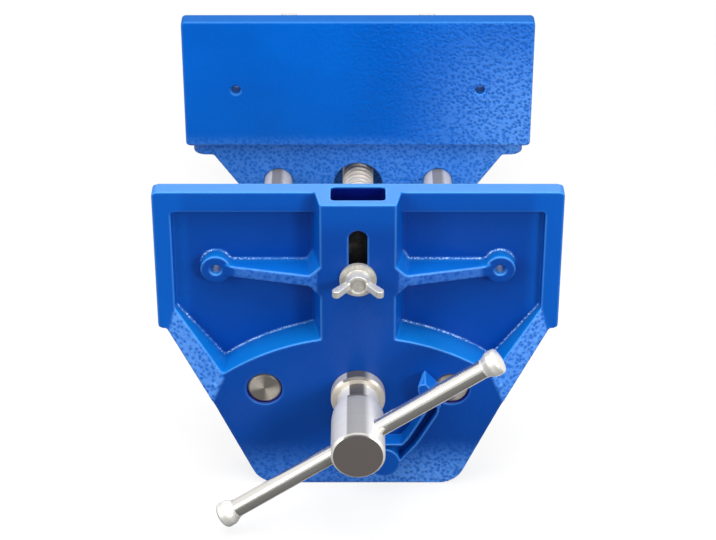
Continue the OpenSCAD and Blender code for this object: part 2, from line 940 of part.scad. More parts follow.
module rod_pins() {
    color(dark_steel)
    mirrored()
        translate([rod_x, front_face_y - rod_pin_setback, rod_z - rod_pin_reach])
            cylinder(h = 2 * rod_pin_reach, r = rod_pin_radius);
}

module end_plate() {
    color(dark_steel)
    difference() {
        slab(plate_front, plate_back)
            polygon(rounded([
                [rod_x + plate_ear, rod_z + plate_rise],
                [rod_x + plate_ear, rod_z - plate_ear],
                [trip_x + plate_lobe + plate_ear, rod_z - plate_ear],
                [trip_x + plate_lobe, trip_z - plate_lobe],
                [trip_x - plate_lobe, trip_z - plate_lobe],
                [-plate_lobe - plate_ear, rod_z - plate_ear],
                [-rod_x - plate_ear, rod_z - plate_ear],
                [-rod_x - plate_ear, rod_z + plate_rise]],
                plate_corner));
        at_rods()
            bar(plate_front - overrun, plate_back + overrun, rod_stud_radius + fit_gap);
        translate([0, 0, screw_z])
            bar(plate_front - overrun, plate_back + overrun, journal_radius + slide_gap);
        translate([trip_x, 0, trip_z])
            bar(plate_front - overrun, plate_back + overrun, trip_radius + slide_gap);
    }
}

module rod_washers() {
    color(steel)
    at_rods()
        difference() {
            bar(plate_back, plate_back + rod_washer_thickness, rod_washer_radius);
            bar(plate_back - overrun, plate_back + rod_washer_thickness + overrun,
                rod_stud_radius + face_gap);
        }
}

module rod_nuts() {
    nut_start = plate_back + rod_washer_thickness;
    color(steel)
    at_rods()
        difference() {
            translate([0, nut_start, 0])
                rotate([-90, 0, 0])
                    cylinder(h = rod_nut_height, r = rod_nut_radius, $fn = 6);
            bar(nut_start - overrun, nut_start + rod_nut_height + overrun, rod_stud_radius + fit_gap);
        }
}

// Main screw

thread_end = thread_start + (thread_turns + 1) * screw_pitch;
thread_land_end = thread_end + thread_land - screw_pitch;
journal_end = plate_back - front_face_y + end_washer_thickness + face_gap + journal_reach;

module main_screw() {
    color(steel)
    at_screw()
    difference() {
        union() {
            bar(-head_start - head_bore_depth, thread_start + screw_pitch + thread_land / 2, land_radius);
            screw_thread(thread_start, thread_turns, screw_radius, thread_core,
                crest_share * screw_pitch, root_share * screw_pitch);
            bar(thread_end - screw_pitch - thread_land / 2, thread_land_end, land_radius);
            bar(thread_end - screw_pitch, journal_end, journal_radius);
        }
        translate([0, spring_pin_y, -screw_diameter])
            cylinder(h = 2 * screw_diameter, r = spring_pin_radius + fit_gap);
        translate([0, journal_end - end_pin_setback, -screw_diameter])
            cylinder(h = 2 * screw_diameter, r = end_pin_radius + fit_gap);
        translate([0, -body_depth - face_gap - collar_length / 2, -screw_diameter])
            cylinder(h = screw_diameter, r = collar_pin_radius + fit_gap);
    }
}

// Hub that carries the handle: the outline of half its section, turned about the screw's axis
module screw_head() {
    head_radius = head_diameter / 2;
    neck_start = body_depth + face_gap + collar_length + face_gap;
    shoulder = [for (i = [0:shoulder_steps])
        let (a = 90 * i / shoulder_steps)
        [neck_radius + (head_radius - neck_radius) * sin(a), -head_start - head_shoulder * (1 - cos(a))]];
    color(steel)
    at_screw()
    difference() {
        rotate([-90, 0, 0])
            rotate_extrude()
                polygon(concat(
                    [[0, -head_end], [0, -neck_start], [neck_radius, -neck_start]],
                    shoulder,
                    [[head_radius, -head_end + head_chamfer], [head_radius - head_chamfer, -head_end]]));
        bar(-head_start - head_bore_depth - fit_gap, -neck_start + overrun, land_radius + fit_gap);
        translate([0, -handle_y, 0])
            rotate([0, 90 - handle_tilt, 0])
                cylinder(h = 2 * head_diameter, r = handle_radius + handle_hole_gap, center = true);
    }
}

module thrust_collar() {
    front = -body_depth - face_gap - collar_length;
    color(steel)
    at_screw()
    difference() {
        union() {
            bar(front + head_chamfer, -body_depth - face_gap, collar_radius);
            taper(front, front + head_chamfer, collar_radius - head_chamfer, collar_radius);
        }
        bar(front - overrun, -body_depth, land_radius + fit_gap);
        translate([0, front + collar_length / 2, -2 * collar_radius])
            cylinder(h = 2 * collar_radius, r = collar_pin_radius + fit_gap);
    }
}

module collar_pin() {
    color(dark_steel)
    at_screw()
        translate([0, -body_depth - face_gap - collar_length / 2, -collar_radius + face_gap])
            cylinder(h = collar_radius - 2 * face_gap, r = collar_pin_radius);
}

module screw_spring() {
    color(steel)
    at_screw()
        translate([0, face_gap, 0])
            rotate([-90, 0, 0])
                coil(screw_spring_radius, screw_spring_wire, screw_spring_curls, screw_spring_length);
}

module spring_washer() {
    front = screw_spring_length + face_gap;
    color(steel)
    at_screw()
    difference() {
        bar(front, front + spring_washer_thickness, spring_washer_radius);
        bar(front - overrun, front + spring_washer_thickness + overrun, land_radius + fit_gap);
    }
}

module spring_pin() {
    color(dark_steel)
    at_screw()
        translate([0, spring_pin_y, 0])
            cylinder(h = spring_pin_length, r = spring_pin_radius, center = true);
}

module screw_end_washer() {
    front = plate_back - front_face_y + face_gap;
    color(steel)
    at_screw()
    difference() {
        bar(front, front + end_washer_thickness, end_washer_radius);
        bar(front - overrun, front + end_washer_thickness + overrun, journal_radius + fit_gap);
    }
}

module screw_end_pin() {
    color(dark_steel)
    at_screw()
        translate([0, journal_end - end_pin_setback, 0])
            cylinder(h = end_pin_length, r = end_pin_radius, center = true);
}

// Handle, drawn level along X and tilted as it stands

module at_handle() {
    at_screw()
        translate([0, -handle_y, 0])
            rotate([0, -handle_tilt, 0])
                children();
}

module handle_bar() {
    length = handle_length - knob_length + 2 * knob_bore;
    color(steel)
    at_handle()
        rotate([0, 90, 0])
            cylinder(h = length, r = handle_radius, center = true);
}

// Knob: it flares out from the bar, with a rounded edge and a slightly domed end
module knob() {
    inner = handle_length / 2 - knob_length / 2;
    outer = inner + knob_length;
    face_radius = knob_radius - knob_edge;
    flare = [for (i = [0:knob_steps])
        let (share = i / knob_steps)
        [knob_neck_radius + (knob_radius - knob_neck_radius) * (1 - cos(180 * share)) / 2,
            inner + knob_flare * share]];
    edge = [for (i = [0:knob_steps - 1])
        let (a = 90 * i / knob_steps)
        [face_radius + knob_edge * cos(a), outer - knob_dome - knob_edge * (1 - sin(a))]];
    dome = [for (i = [0:knob_steps - 1])
        let (share = 1 - i / knob_steps)
        [face_radius * share, outer - knob_dome * share * share]];
    tip = [0, dome[knob_steps - 1][1]];
    rotate([0, 90, 0])
        difference() {
            rotate_extrude()
                polygon(concat([[0, inner]], flare, edge, dome, [tip]));
            cylinder(h = inner + knob_bore, r = handle_radius + fit_gap);
        }
}

module knob_right() {
    color(steel)
    at_handle()
        knob();
}

module knob_left() {
    color(steel)
    at_handle()
        mirror([1, 0, 0])
            knob();
}

// Release lever: a boss on the trip rod, a bent arm with a rim around a sunk web, and a thumb pad

lever_beside = mitre(lever_shoulder, lever_elbow, lever_knee, lever_width);
lever_inside = mitre(lever_elbow, lever_knee, lever_heel, lever_width);
lever_fork = lever_inside + (lever_heel - lever_knee) * (lever_inside.y - lever_root_height)
    / (lever_knee.y - lever_heel.y);
lever_points = [
    lever_crown,
    lever_shoulder,
    lever_elbow,
    lever_knee,
    lever_heel,
    [-lever_root_half, lever_heel.y],
    [-lever_root_half, lever_root_height],
    lever_fork,
    lever_inside,
    lever_beside,
    [lever_tip_left, lever_crown.y - lever_small_bend]];
lever_radii = [
    lever_small_bend,
    lever_bend,
    lever_bend,
    lever_long_bend,
    0,
    0,
    lever_root_half,
    lever_small_bend,
    lever_long_bend / 2,
    lever_bend - lever_width,
    0];

function pad_outline(left_points) = concat(
    [
        lever_crown + pad_proud * [1, 1],
        lever_shoulder + pad_proud * [1, 1],
        [lever_elbow.x + pad_proud, pad_foot],
        [lever_tip_left, pad_foot]],
    left_points);

module lever_pad() {
    back = -body_depth - face_gap;
    hull() {
        slab(back - overrun, back)
            polygon(pad_outline([[lever_tip_left - pad_proud, lever_crown.y - lever_small_bend]]));
        slab(-lever_tip_front, -lever_tip_front + overrun)
            polygon(pad_outline([
                [pad_nub.x, pad_nub_foot],
                pad_nub,
                pad_nub + pad_nub_bevel * [1, 1]]));
    }
}

module release_lever() {
    back = -body_depth - face_gap;
    color(enamel)
    at_trip_rod()
    difference() {
        union() {
            difference() {
                slab(-lever_front, back)
                    polygon(rounded(lever_points, lever_radii));
                slab(-lever_front - overrun, back - lever_web)
                    polygon(rounded(inset(lever_points, lever_rim),
                        [for (radius = lever_radii) max(radius - lever_rim, 0)]));
            }
            bar(-lever_front, back, lever_boss_radius);
            lever_pad();
        }
        bar(-lever_front + lever_cap - fit_gap, back + overrun, trip_radius + fit_gap);
        translate([0, -lever_front + lever_depth / 2, 0])
            cylinder(h = 2 * (lever_boss_radius + overrun), r = lever_pin_radius + fit_gap, center = true);
    }
}

module lever_pin() {
    color(dark_steel)
    at_trip_rod()
        translate([0, -lever_front + lever_depth / 2, 0])
            cylinder(h = 2 * (lever_boss_radius - face_gap), r = lever_pin_radius, center = true);
}

module trip_rod() {
    rod_start = -lever_front + lever_cap;
    rod_end = plate_back - front_face_y + clip_thickness + trip_rod_reach;
    color(steel)
    at_trip_rod()
    difference() {
        bar(rod_start, rod_end, trip_radius);
        translate([trip_radius - trip_flat, trip_flat_margin, -trip_rod_diameter])
            cube([trip_rod_diameter, plate_front - front_face_y - 2 * trip_flat_margin,
                2 * trip_rod_diameter]);
        translate([0, -lever_front + lever_depth / 2, 0])
            cylinder(h = 2 * trip_rod_diameter, r = lever_pin_radius + fit_gap, center = true);
    }
}

module trip_rod_collar() {
    color(steel)
    at_trip_rod()
    difference() {
        bar(face_gap, face_gap + trip_collar_length, trip_collar_radius);
        bar(0, trip_collar_length + overrun, trip_radius + fit_gap);
    }
}

module trip_rod_clip() {
    front = plate_back - front_face_y + face_gap;
    color(dark_steel)
    at_trip_rod()
    difference() {
        bar(front, front + clip_thickness, clip_radius);
        bar(front - overrun, front + clip_thickness + overrun, trip_radius + fit_gap);
    }
}

// Dog and its clamp

module dog() {
    half = dog_width / 2;
    front = dog_slot_back + (dog_slot_front - dog_slot_back + dog_depth) / 2;
    color(dark_steel)
    at_jaw()
    difference() {
        translate([0, -front + dog_depth, -dog_top_drop - dog_length])
            rotate([90, 0, 0])
                linear_extrude(height = dog_depth)
                    polygon(rounded(box_outline(-half, half, 0, dog_length), [dog_edge, 0, 0, dog_edge]));
        translate([0, 0, -stud_drop])
            bar(-dog_slot_front, -front + stud_bury, stud_radius + fit_gap);
    }
}

module dog_stud() {
    front = dog_slot_back + (dog_slot_front - dog_slot_back + dog_depth) / 2;
    color(steel)
    at_jaw()
        translate([0, 0, -stud_drop])
            bar(-stud_end, -front + stud_bury - fit_gap, stud_radius);
}

module clamp_washer() {
    color(steel)
    at_jaw()
    translate([0, 0, -stud_drop])
    difference() {
        bar(-body_depth - face_gap - washer_thickness, -body_depth - face_gap, washer_radius);
        bar(-body_depth - washer_thickness - overrun, -body_depth, stud_radius + slide_gap);
    }
}

// Wing nut: a tapered hub with two wings that stand out towards the front
module wing_nut() {
    back = -body_depth - 2 * face_gap - washer_thickness;
    color(steel)
    at_jaw()
    translate([0, 0, -stud_drop])
    difference() {
        union() {
            taper(back - hub_length, back, hub_front_radius, hub_base_radius);
            mirrored()
                hull() {
                    translate([wing_root_x, back - hub_length / 2, 0])
                        cube([overrun, hub_length - 2 * overrun, wing_plate], center = true);
                    translate([wing_reach - wing_tip_radius, back - hub_length / 2 - wing_lean, -wing_rise])
                        cylinder(h = wing_plate, r = wing_tip_radius, center = true);
                }
        }
        bar(back - 2 * hub_length, back + overrun, stud_radius + slide_gap);
    }
}

echo("least gap of the springs to themselves",
    wire_gap(nut_spring_radius, nut_spring_wire, (nut_spring_height - nut_spring_wire) / nut_spring_curls,
        nut_spring_curls * spring_rings),
    wire_gap(screw_spring_radius, screw_spring_wire,
        (screw_spring_length - screw_spring_wire) / screw_spring_curls, screw_spring_curls * spring_rings));

rear_casting();
nut_cover();
cover_screws();
nut_springs();
half_nut();
trip_cam();
front_casting();
guide_rod_left();
guide_rod_right();
rod_pins();
end_plate();
rod_washers();
rod_nuts();
main_screw();
screw_head();
thrust_collar();
collar_pin();
screw_spring();
spring_washer();
spring_pin();
screw_end_washer();
screw_end_pin();
handle_bar();
knob_left();
knob_right();
release_lever();
lever_pin();
trip_rod();
trip_rod_collar();
trip_rod_clip();
dog();
dog_stud();
clamp_washer();
wing_nut();
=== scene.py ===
import math
import bmesh
import bpy
from mathutils import Matrix, Vector
from mathutils.kdtree import KDTree


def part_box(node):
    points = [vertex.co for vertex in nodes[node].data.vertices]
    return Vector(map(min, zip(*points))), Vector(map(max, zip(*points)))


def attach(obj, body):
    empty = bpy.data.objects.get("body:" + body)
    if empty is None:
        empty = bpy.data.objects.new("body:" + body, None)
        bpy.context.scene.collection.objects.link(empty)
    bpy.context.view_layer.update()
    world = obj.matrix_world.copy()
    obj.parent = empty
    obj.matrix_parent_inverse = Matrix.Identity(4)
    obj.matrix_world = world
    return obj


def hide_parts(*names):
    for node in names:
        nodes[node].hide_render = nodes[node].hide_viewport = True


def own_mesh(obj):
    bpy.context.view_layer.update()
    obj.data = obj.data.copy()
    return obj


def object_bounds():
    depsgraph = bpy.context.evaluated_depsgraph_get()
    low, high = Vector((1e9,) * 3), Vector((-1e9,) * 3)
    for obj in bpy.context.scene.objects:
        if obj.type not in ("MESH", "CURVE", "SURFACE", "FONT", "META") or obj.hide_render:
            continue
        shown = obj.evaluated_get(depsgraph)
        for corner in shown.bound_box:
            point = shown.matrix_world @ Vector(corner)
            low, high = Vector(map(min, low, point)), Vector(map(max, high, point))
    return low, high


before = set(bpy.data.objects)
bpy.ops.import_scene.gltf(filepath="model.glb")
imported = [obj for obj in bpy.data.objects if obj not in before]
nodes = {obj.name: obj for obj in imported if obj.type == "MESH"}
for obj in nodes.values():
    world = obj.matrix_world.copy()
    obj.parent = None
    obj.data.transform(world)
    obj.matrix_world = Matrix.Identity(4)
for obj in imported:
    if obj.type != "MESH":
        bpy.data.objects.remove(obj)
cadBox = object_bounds()
print("frame loaded:", len(nodes), "nodes")

mm = 0.001
axisY = (0, 1, 0)
axisZ = (0, 0, 1)
sharpAngle = 32         # folds past this many degrees stay sharp
weldReach = 1e-6        # vertices nearer than this are merged
threadWeldReach = 2e-6
cutReach = 1e-7

# Places shared with the vise's CAD source, in millimetres
place = {
    "gripY": -348,         # gripping face of the front jaw
    "jawTop": 104,
    "screwZ": -38.5,
    "rodX": 62.2,
    "rodZ": -35.5,
    "tripX": 17.3,
    "tripZ": -86.3,
    "studZ": 50,
    "handleY": 83,         # in front of the gripping face
    "handleTilt": 34.5,    # in degrees
}


# Shader wiring

class Wire:
    def __init__(self, tree, socket=None):
        self.tree = tree
        self.socket = socket

    def feed(self, socket, value):
        if isinstance(value, Wire):
            self.tree.links.new(value.socket, socket)
        elif isinstance(value, tuple) and socket.type == "RGBA":
            socket.default_value = (*value, 1)
        else:
            socket.default_value = value

    def node(self, kind, settings=None, inputs=None, output=0):
        made = self.tree.nodes.new("ShaderNode" + kind)
        for name, value in (settings or {}).items():
            setattr(made, name, value)
        for name, value in (inputs or {}).items():
            self.feed(made.inputs[name], value)
        return Wire(self.tree, made.outputs[output])

    def output(self, name):
        return Wire(self.tree, self.socket.node.outputs[name])

    def maths(self, operation, first, second=0.0):
        return self.node("Math", {"operation": operation}, {0: first, 1: second})

    def __add__(self, other):
        return self.maths("ADD", self, other)

    def __radd__(self, other):
        return self.maths("ADD", other, self)

    def __sub__(self, other):
        return self.maths("SUBTRACT", self, other)

    def __rsub__(self, other):
        return self.maths("SUBTRACT", other, self)

    def __mul__(self, other):
        return self.maths("MULTIPLY", self, other)

    def __rmul__(self, other):
        return self.maths("MULTIPLY", other, self)

    def __truediv__(self, other):
        return self.maths("DIVIDE", self, other)

    def __abs__(self):
        return self.maths("ABSOLUTE", self)

    def root(self):
        return self.maths("SQRT", self)

    def most(self, other):
        return self.maths("MAXIMUM", self, other)

    # Rises from 0 at the first end to 1 at the second, which may be the lower one
    def between(self, low, high):
        return self.node("MapRange", {"interpolation_type": "SMOOTHSTEP"},
                         {"Value": self, "From Min": low, "From Max": high})

    # The same over a distance given in millimetres
    def within(self, low, high):
        return self.between(low * mm, high * mm)

    # The node's colours are its inputs 6 and 7 and its output 2
    def mix(self, factor, first, second):
        return self.node("Mix", {"data_type": "RGBA"}, {0: factor, 6: first, 7: second}, output=2)

    def noise(self, coords, scale, detail=3.0, roughness=0.55):
        return self.node("TexNoise", None, {"Vector": coords, "Scale": scale, "Detail": detail,
                                            "Roughness": roughness})

    def mark(self, name):
        return self.node("Attribute", {"attribute_name": name}, output="Fac")

    def objectCoords(self):
        return self.node("TexCoord", output="Object")

    def parts(self, vector):
        x = self.node("SeparateXYZ", None, {0: vector})
        return x, x.output("Y"), x.output("Z")

    def facing(self):
        return self.parts(self.node("NewGeometry", output="Normal"))

    def bump(self, height, depth):
        return self.node("Bump", None, {"Height": height, "Distance": depth * mm, "Strength": 1.0})


def srgb(red, green, blue):
    def linear(value):
        value = value / 255
        return value / 12.92 if value <= 0.04045 else ((value + 0.055) / 1.055) ** 2.4
    return (linear(red), linear(green), linear(blue))


def newMaterial(name, fixed=None):
    material = bpy.data.materials.new(name)
    material.use_nodes = True
    shader = material.node_tree.nodes["Principled BSDF"]
    for socket, value in (fixed or {}).items():
        shader.inputs[socket].default_value = value
    return material, Wire(material.node_tree), shader.inputs


# Enamel of the castings and the release lever. Scales are per metre, lengths in millimetres, and a pair is where
# an effect starts and where it is full.

enamel = {
    # the deep colour serves random tone and painted shade
    "deepToneAndShade": srgb(0, 54, 140),
    "ridgeWearAndHighlight": srgb(96, 172, 250),       # worn ridges with a painted highlight
    "crownHighlight": srgb(88, 150, 236),      # painted highlight on the crowns of the hammered finish
    # painted shade in the dog's slot and round the rods' bores
    "slot": srgb(0, 14, 100),
    "beadHighlight": srgb(168, 200, 246),     # painted highlight beads in the corners that look up
    "broadScale": 8,
    "broadSpan": (0.35, 0.65),
    "broadShare": 0.25,
    "patchScale": 45,
    "cellScale": 370,
    "cellSmoothness": 0.4,
    "cellSpan": (0.12, 0.72),
    "bendScale": 260,                 # of the noise that bends the cells' outlines
    "bend": 2.4,
    "upward": (0.1, 0.5),             # by how far a face looks up
    "topLightingShare": 0.75,
    "forward": (-0.35, -0.75),
    "cornerShadeShare": 0.5,
    "crownLeast": 0.12,               # between the cells
    "crownShare": 0.75,
    "patchLeast": 0.7,
    "patchShare": 0.6,
    "shownSide": (-0.3, 0.1),         # faces that look further down show no wear and no painted highlight
    "wornLitLeast": 0.35,
    "wornLitShare": 0.5,
    "beadHighlightCorner": (0.85, 0.93),
    "beadScale": 1000,
    "beadSpan": (0.46, 0.56),
    "beadHighlightPatch": (0.35, 0.5),
    "beadHighlightHeight": 0.3,
    "grainScale": 1500,
    "grainHeight": 0.06,
    "upwardSmoothness": 0.8,
    "depth": 0.5,                     # of the hammered cells
    "roughness": 0.28,
    "patchRoughness": 0.1,
    "ridgeRoughness": 0.1,
}

# How far each effect goes where a casting has no zone for it
plainZones = {
    "paintedShade": 0.0,       # painted shade on the faces that look ahead
    "hammeredHighlight": 0.0,    # painted highlights on the hammered cells' crowns
    "rough": 0.06,      # relief of the hammered cells
    # painted shade in the dog's slot and round the rods' bores
    "slot": 0.0,
    "worn": 1.0,        # pale ridges: wear with a painted highlight
    "matt": 0.0,        # faces that look up
    "upper": 1.0,       # painted top lighting, a second colour on those faces
}

rearLook = {
    "right": (20, 125),      # painted highlights on the crowns towards the right and down
    "down": (140, 20),
    "low": (12, -4),         # and below the jaw plate
    "lowShare": 0.6,
    "rougher": (-80, 100),   # relief grows to the right
    "roughLeast": 0.25,
    "matt": 0.3,
}


# Painted highlights on the hammered crowns show most at the right and low on the rear jaw
def rearZones(x, y, z):
    look = rearLook
    # painted highlights on the crowns, at the right and low
    right = x.within(*look["right"]) * z.within(*look["down"])
    low = z.within(*look["low"])
    return {**plainZones, "matt": look["matt"], "hammeredHighlight": right.most(low * look["lowShare"]),
            "rough": look["roughLeast"] + (1 - look["roughLeast"]) * x.within(*look["rougher"])}


frontLook = {
    "foot": (-74, -106),         # painted highlights on the hammered crowns, most so at the right
    "footAcross": (-30, 50),
    "footLeast": 0.45,
    # each line that bounds a side band: its slopes across and up, and the distances where the band starts and is full
    "bandLines": ((0.793, -0.609, 85.6, 86.4), (0.926, 0.379, 70.8, 74), (0.971, 0.24, 122.8, 120.4)),
    "bandRough": 0.3,
    "plainRough": 0.12,
    "middle": (118, 108),        # painted shade
    "middleBelowTop": (6, 26),
    "middleLeast": 0.3,
    "middleShare": 0.42,
    # the dog's slot is darkened with painted shade
    "slotFromGrip": 13,          # middle of the dog's slot
    "slotAcross": (18, 17.6),
    "slotDepthway": (9.6, 9.2),
    "slotBelowTop": (0.6, 2),
    "bore": (12.2, 11.8),        # painted shade round a rod's bore
    "ribInner": (25.5, 27.5),    # where a rib's face gets painted highlights on its hammered crowns
    "ribOuter": (83, 78),
    "ribLow": (32, 35),
    "ribHigh": (62, 59),
    "ribFront": (-356, -359),
    "ribShare": 0.36,
    "ribTopLightingCut": 0.6,
    "worn": (-35, 0),            # ridges' wear and painted highlight are paler above
    "wornLitLeast": 0.25,
}


# On the front jaw the middle gets painted shade, the dog's slot and the rods' bores darker painted shade still, and
# the foot, the ribs' faces and the two slanted side bands get painted highlights on their hammered crowns
def frontZones(x, y, z):
    look = frontLook
    top = place["jawTop"]
    across = abs(x)
    foot = look["footLeast"] + (1 - look["footLeast"]) * x.within(*look["footAcross"])
    foot = foot * z.within(*look["foot"])
    inner, lower, outer = ((slopeAcross * across + slopeUp * z).within(start, full)
                           for slopeAcross, slopeUp, start, full in look["bandLines"])
    band = inner * lower * outer
    fade = z.within(*(top - down for down in look["middleBelowTop"]))
    # painted shade over the middle of the jaw
    middle = across.within(*look["middle"]) * (look["middleLeast"] + look["middleShare"] * fade)
    # painted shade in the dog's slot
    depthway = abs(y - (place["gripY"] - look["slotFromGrip"]) * mm)
    slot = across.within(*look["slotAcross"]) * depthway.within(*look["slotDepthway"])
    slot = slot * z.within(*(top - down for down in look["slotBelowTop"]))
    fromRod = across - place["rodX"] * mm
    upRod = z - place["rodZ"] * mm
    # painted shade round the rods' bores
    bore = (fromRod * fromRod + upRod * upRod).root().within(*look["bore"])
    rib = across.within(*look["ribInner"]) * across.within(*look["ribOuter"])
    rib = rib * z.within(*look["ribLow"]) * z.within(*look["ribHigh"]) * y.within(*look["ribFront"])
    # where painted highlights go on the hammered crowns
    paler = foot.most(band).most(rib * look["ribShare"])
    return {**plainZones, "paintedShade": middle * (1 - paler), "hammeredHighlight": paler, "slot": slot.most(bore),
            "upper": 1 - look["ribTopLightingCut"] * rib, "rough": foot.most(look["plainRough"] + look["bandRough"] * band),
            "worn": look["wornLitLeast"] + (1 - look["wornLitLeast"]) * z.within(*look["worn"])}


# Painted shade on the lever's faces that look ahead
def leverZones(x, y, z):
    return {**plainZones, "paintedShade": 0.3, "worn": 0.8}


# The second colour is painted top lighting on the faces that look up, and beadHighlights is how strongly painted
# highlight beads show in the corners
paints = {
    "enamel_front": {"colour": srgb(0, 92, 192), "upper": srgb(8, 122, 206), "specular": 0.26, "beadHighlights": 0.9,
                     "zones": frontZones},
    "enamel_rear": {"colour": srgb(0, 97, 200), "upper": srgb(0, 92, 168), "specular": 0.12, "beadHighlights": 0.5,
                    "zones": rearZones},
    "enamel_lever": {"colour": srgb(0, 86, 184), "upper": srgb(8, 104, 200), "specular": 0.3, "beadHighlights": 0.0,
                     "zones": leverZones},
}


def makeEnamel(name):
    look = enamel
    paint = paints[name]
    material, wire, shader = newMaterial(name, {"Specular IOR Level": paint["specular"]})
    coords = wire.objectCoords()
    zone = paint["zones"](*wire.parts(coords))
    ridge = wire.mark("ridge")
    corner = wire.mark("corner")
    broad = wire.noise(coords, look["broadScale"])
    patch = wire.noise(coords, look["patchScale"])
    bend = wire.noise(coords, look["bendScale"]).output("Color")
    bend = wire.node("VectorMath", {"operation": "SCALE"}, {0: bend, "Scale": look["bend"] * mm})
    bent = wire.node("VectorMath", {"operation": "ADD"}, {0: coords, 1: bend})
    cells = wire.node("TexVoronoi", {"feature": "SMOOTH_F1"},
                      {"Vector": bent, "Scale": look["cellScale"], "Smoothness": look["cellSmoothness"]})
    cells = cells.between(*look["cellSpan"])
    beads = wire.noise(coords, look["beadScale"], detail=2)
    grain = wire.noise(coords, look["grainScale"], detail=2)
    forward, upward = wire.facing()[1:]
    up = upward.between(*look["upward"])
    ahead = forward.between(*look["forward"])
    # painted highlight beads along the corners that look up
    line = corner.between(*look["beadHighlightCorner"]) * beads.between(*look["beadSpan"])
    line = line * patch.between(*look["beadHighlightPatch"]) * up * paint["beadHighlights"]
    crowns = (look["crownLeast"] + look["crownShare"] * cells) * (look["patchLeast"] + look["patchShare"] * patch)
    # ridges that look down get no wear and no painted highlight
    shown = upward.between(*look["shownSide"]) * zone["worn"]
    tone = wire.mix(broad.between(*look["broadSpan"]) * look["broadShare"], paint["colour"], look["deepToneAndShade"])
    # painted shade on the faces that look ahead
    tone = wire.mix(zone["paintedShade"] * ahead, tone, look["deepToneAndShade"])
    # painted top lighting on the faces that look up
    tone = wire.mix(look["topLightingShare"] * up * zone["upper"], tone, paint["upper"])
    # painted shade in the concave corners
    tone = wire.mix(corner * corner * look["cornerShadeShare"], tone, look["deepToneAndShade"])
    # painted highlights on the crowns of the hammered cells
    tone = wire.mix(zone["hammeredHighlight"] * ahead * crowns, tone, look["crownHighlight"])
    # wear and a painted highlight along the ridges
    tone = wire.mix(ridge * (look["wornLitLeast"] + look["wornLitShare"] * grain) * shown, tone, look["ridgeWearAndHighlight"])
    # painted shade in the dog's slot and round the rods' bores
    tone = wire.mix(zone["slot"], tone, look["slot"])
    # painted highlight beads in the corners
    tone = wire.mix(line, tone, look["beadHighlight"])
    height = cells * zone["rough"] * (1 - look["upwardSmoothness"] * up)
    height = height + look["grainHeight"] * grain + look["beadHighlightHeight"] * line
    wire.feed(shader["Base Color"], tone)
    wire.feed(shader["Roughness"], look["roughness"] + look["patchRoughness"] * patch
              + look["ridgeRoughness"] * ridge + up * zone["matt"])
    wire.feed(shader["Normal"], wire.bump(height, look["depth"]))
    return material


coats = {name: makeEnamel(name) for name in paints}


# Bare metal

steel = {
    "bright": srgb(240, 238, 232),
    "dull": srgb(220, 217, 210),
    "warm": srgb(240, 228, 210),      # the oiled rods
    "stain": srgb(150, 132, 112),
    "face": srgb(108, 102, 99),       # front of the screw's head
    "worn": srgb(104, 99, 94),        # darker ends of the rods, round their painted sheen
    "crest": srgb(90, 88, 86),        # painted dark reflection streak along the top of a turned piece
    "zinc": srgb(206, 204, 197),
    "dark": srgb(74, 73, 74),
    "black": srgb(8, 8, 10),
    "iron": srgb(88, 86, 85),
}

handleTurn = math.radians(place["handleTilt"])
screwAxis = {"centre": (0, 0, place["screwZ"]), "along": axisY}
tripAxis = {"centre": (place["tripX"], 0, place["tripZ"]), "along": axisY}
handleAxis = {"centre": (0, place["gripY"] - place["handleY"], place["screwZ"]),
              "along": (math.cos(handleTurn), 0, math.sin(handleTurn))}
groundRod = {"along": axisY, "lay": "rings", "metallic": 0.28, "grain": 2000, "roughness": 0.25, "stain": 0.3,
             "depth": 0.12, "crest": 0.7, "base": "warm", "contrast": 0.8}

# Axis of each turned or drawn piece, its lay (rings round it or lines along it) and its finish, with the depth of
# its marks in millimetres. The crest is how dark the painted reflection streak along its top is, neckCrest what the
# head's neck adds and crestBefore where the streak ends along Y. The lowerEdgeHighlight is how metallic the handle's
# painted white highlight line is.
finishes = {
    "turned_screw": {**screwAxis, "lay": "rings", "metallic": 0.45, "grain": 1500, "roughness": 0.26, "stain": 0.12,
                     "depth": 0.25, "crest": 0.95, "crestBefore": place["gripY"], "base": "warm", "contrast": 1.0},
    "turned_head": {**screwAxis, "lay": "rings", "metallic": 0.3, "grain": 1500, "roughness": 0.28, "stain": 0.05,
                    "depth": 0.12, "crest": 0.6, "neckCrest": 0.4, "base": "bright", "contrast": 0.4,
                    "head": "screw_head"},
    "ground_rod_left": {**groundRod, "centre": (-place["rodX"], 0, place["rodZ"]), "sweptEnd": "guide_rod_left"},
    "ground_rod_right": {**groundRod, "centre": (place["rodX"], 0, place["rodZ"]), "sweptEnd": "guide_rod_right"},
    "ground_trip_rod": {**tripAxis, "lay": "rings", "metallic": 0.5, "grain": 1600, "roughness": 0.28, "stain": 0.3,
                        "depth": 0.05, "crest": 0.5, "base": "warm", "contrast": 0.8},
    "drawn_handle": {**handleAxis, "lay": "lines", "metallic": 0.92, "grain": 1500, "roughness": 0.14,
                     "stain": 0.05, "depth": 0.01, "base": "bright", "contrast": 0.6, "lowerEdgeHighlight": 0.1},
    "turned_knobs": {**handleAxis, "lay": "rings", "metallic": 0.45, "grain": 1500, "roughness": 0.22,
                     "stain": 0.05, "depth": 0.03, "base": "bright", "contrast": 0.5},
}

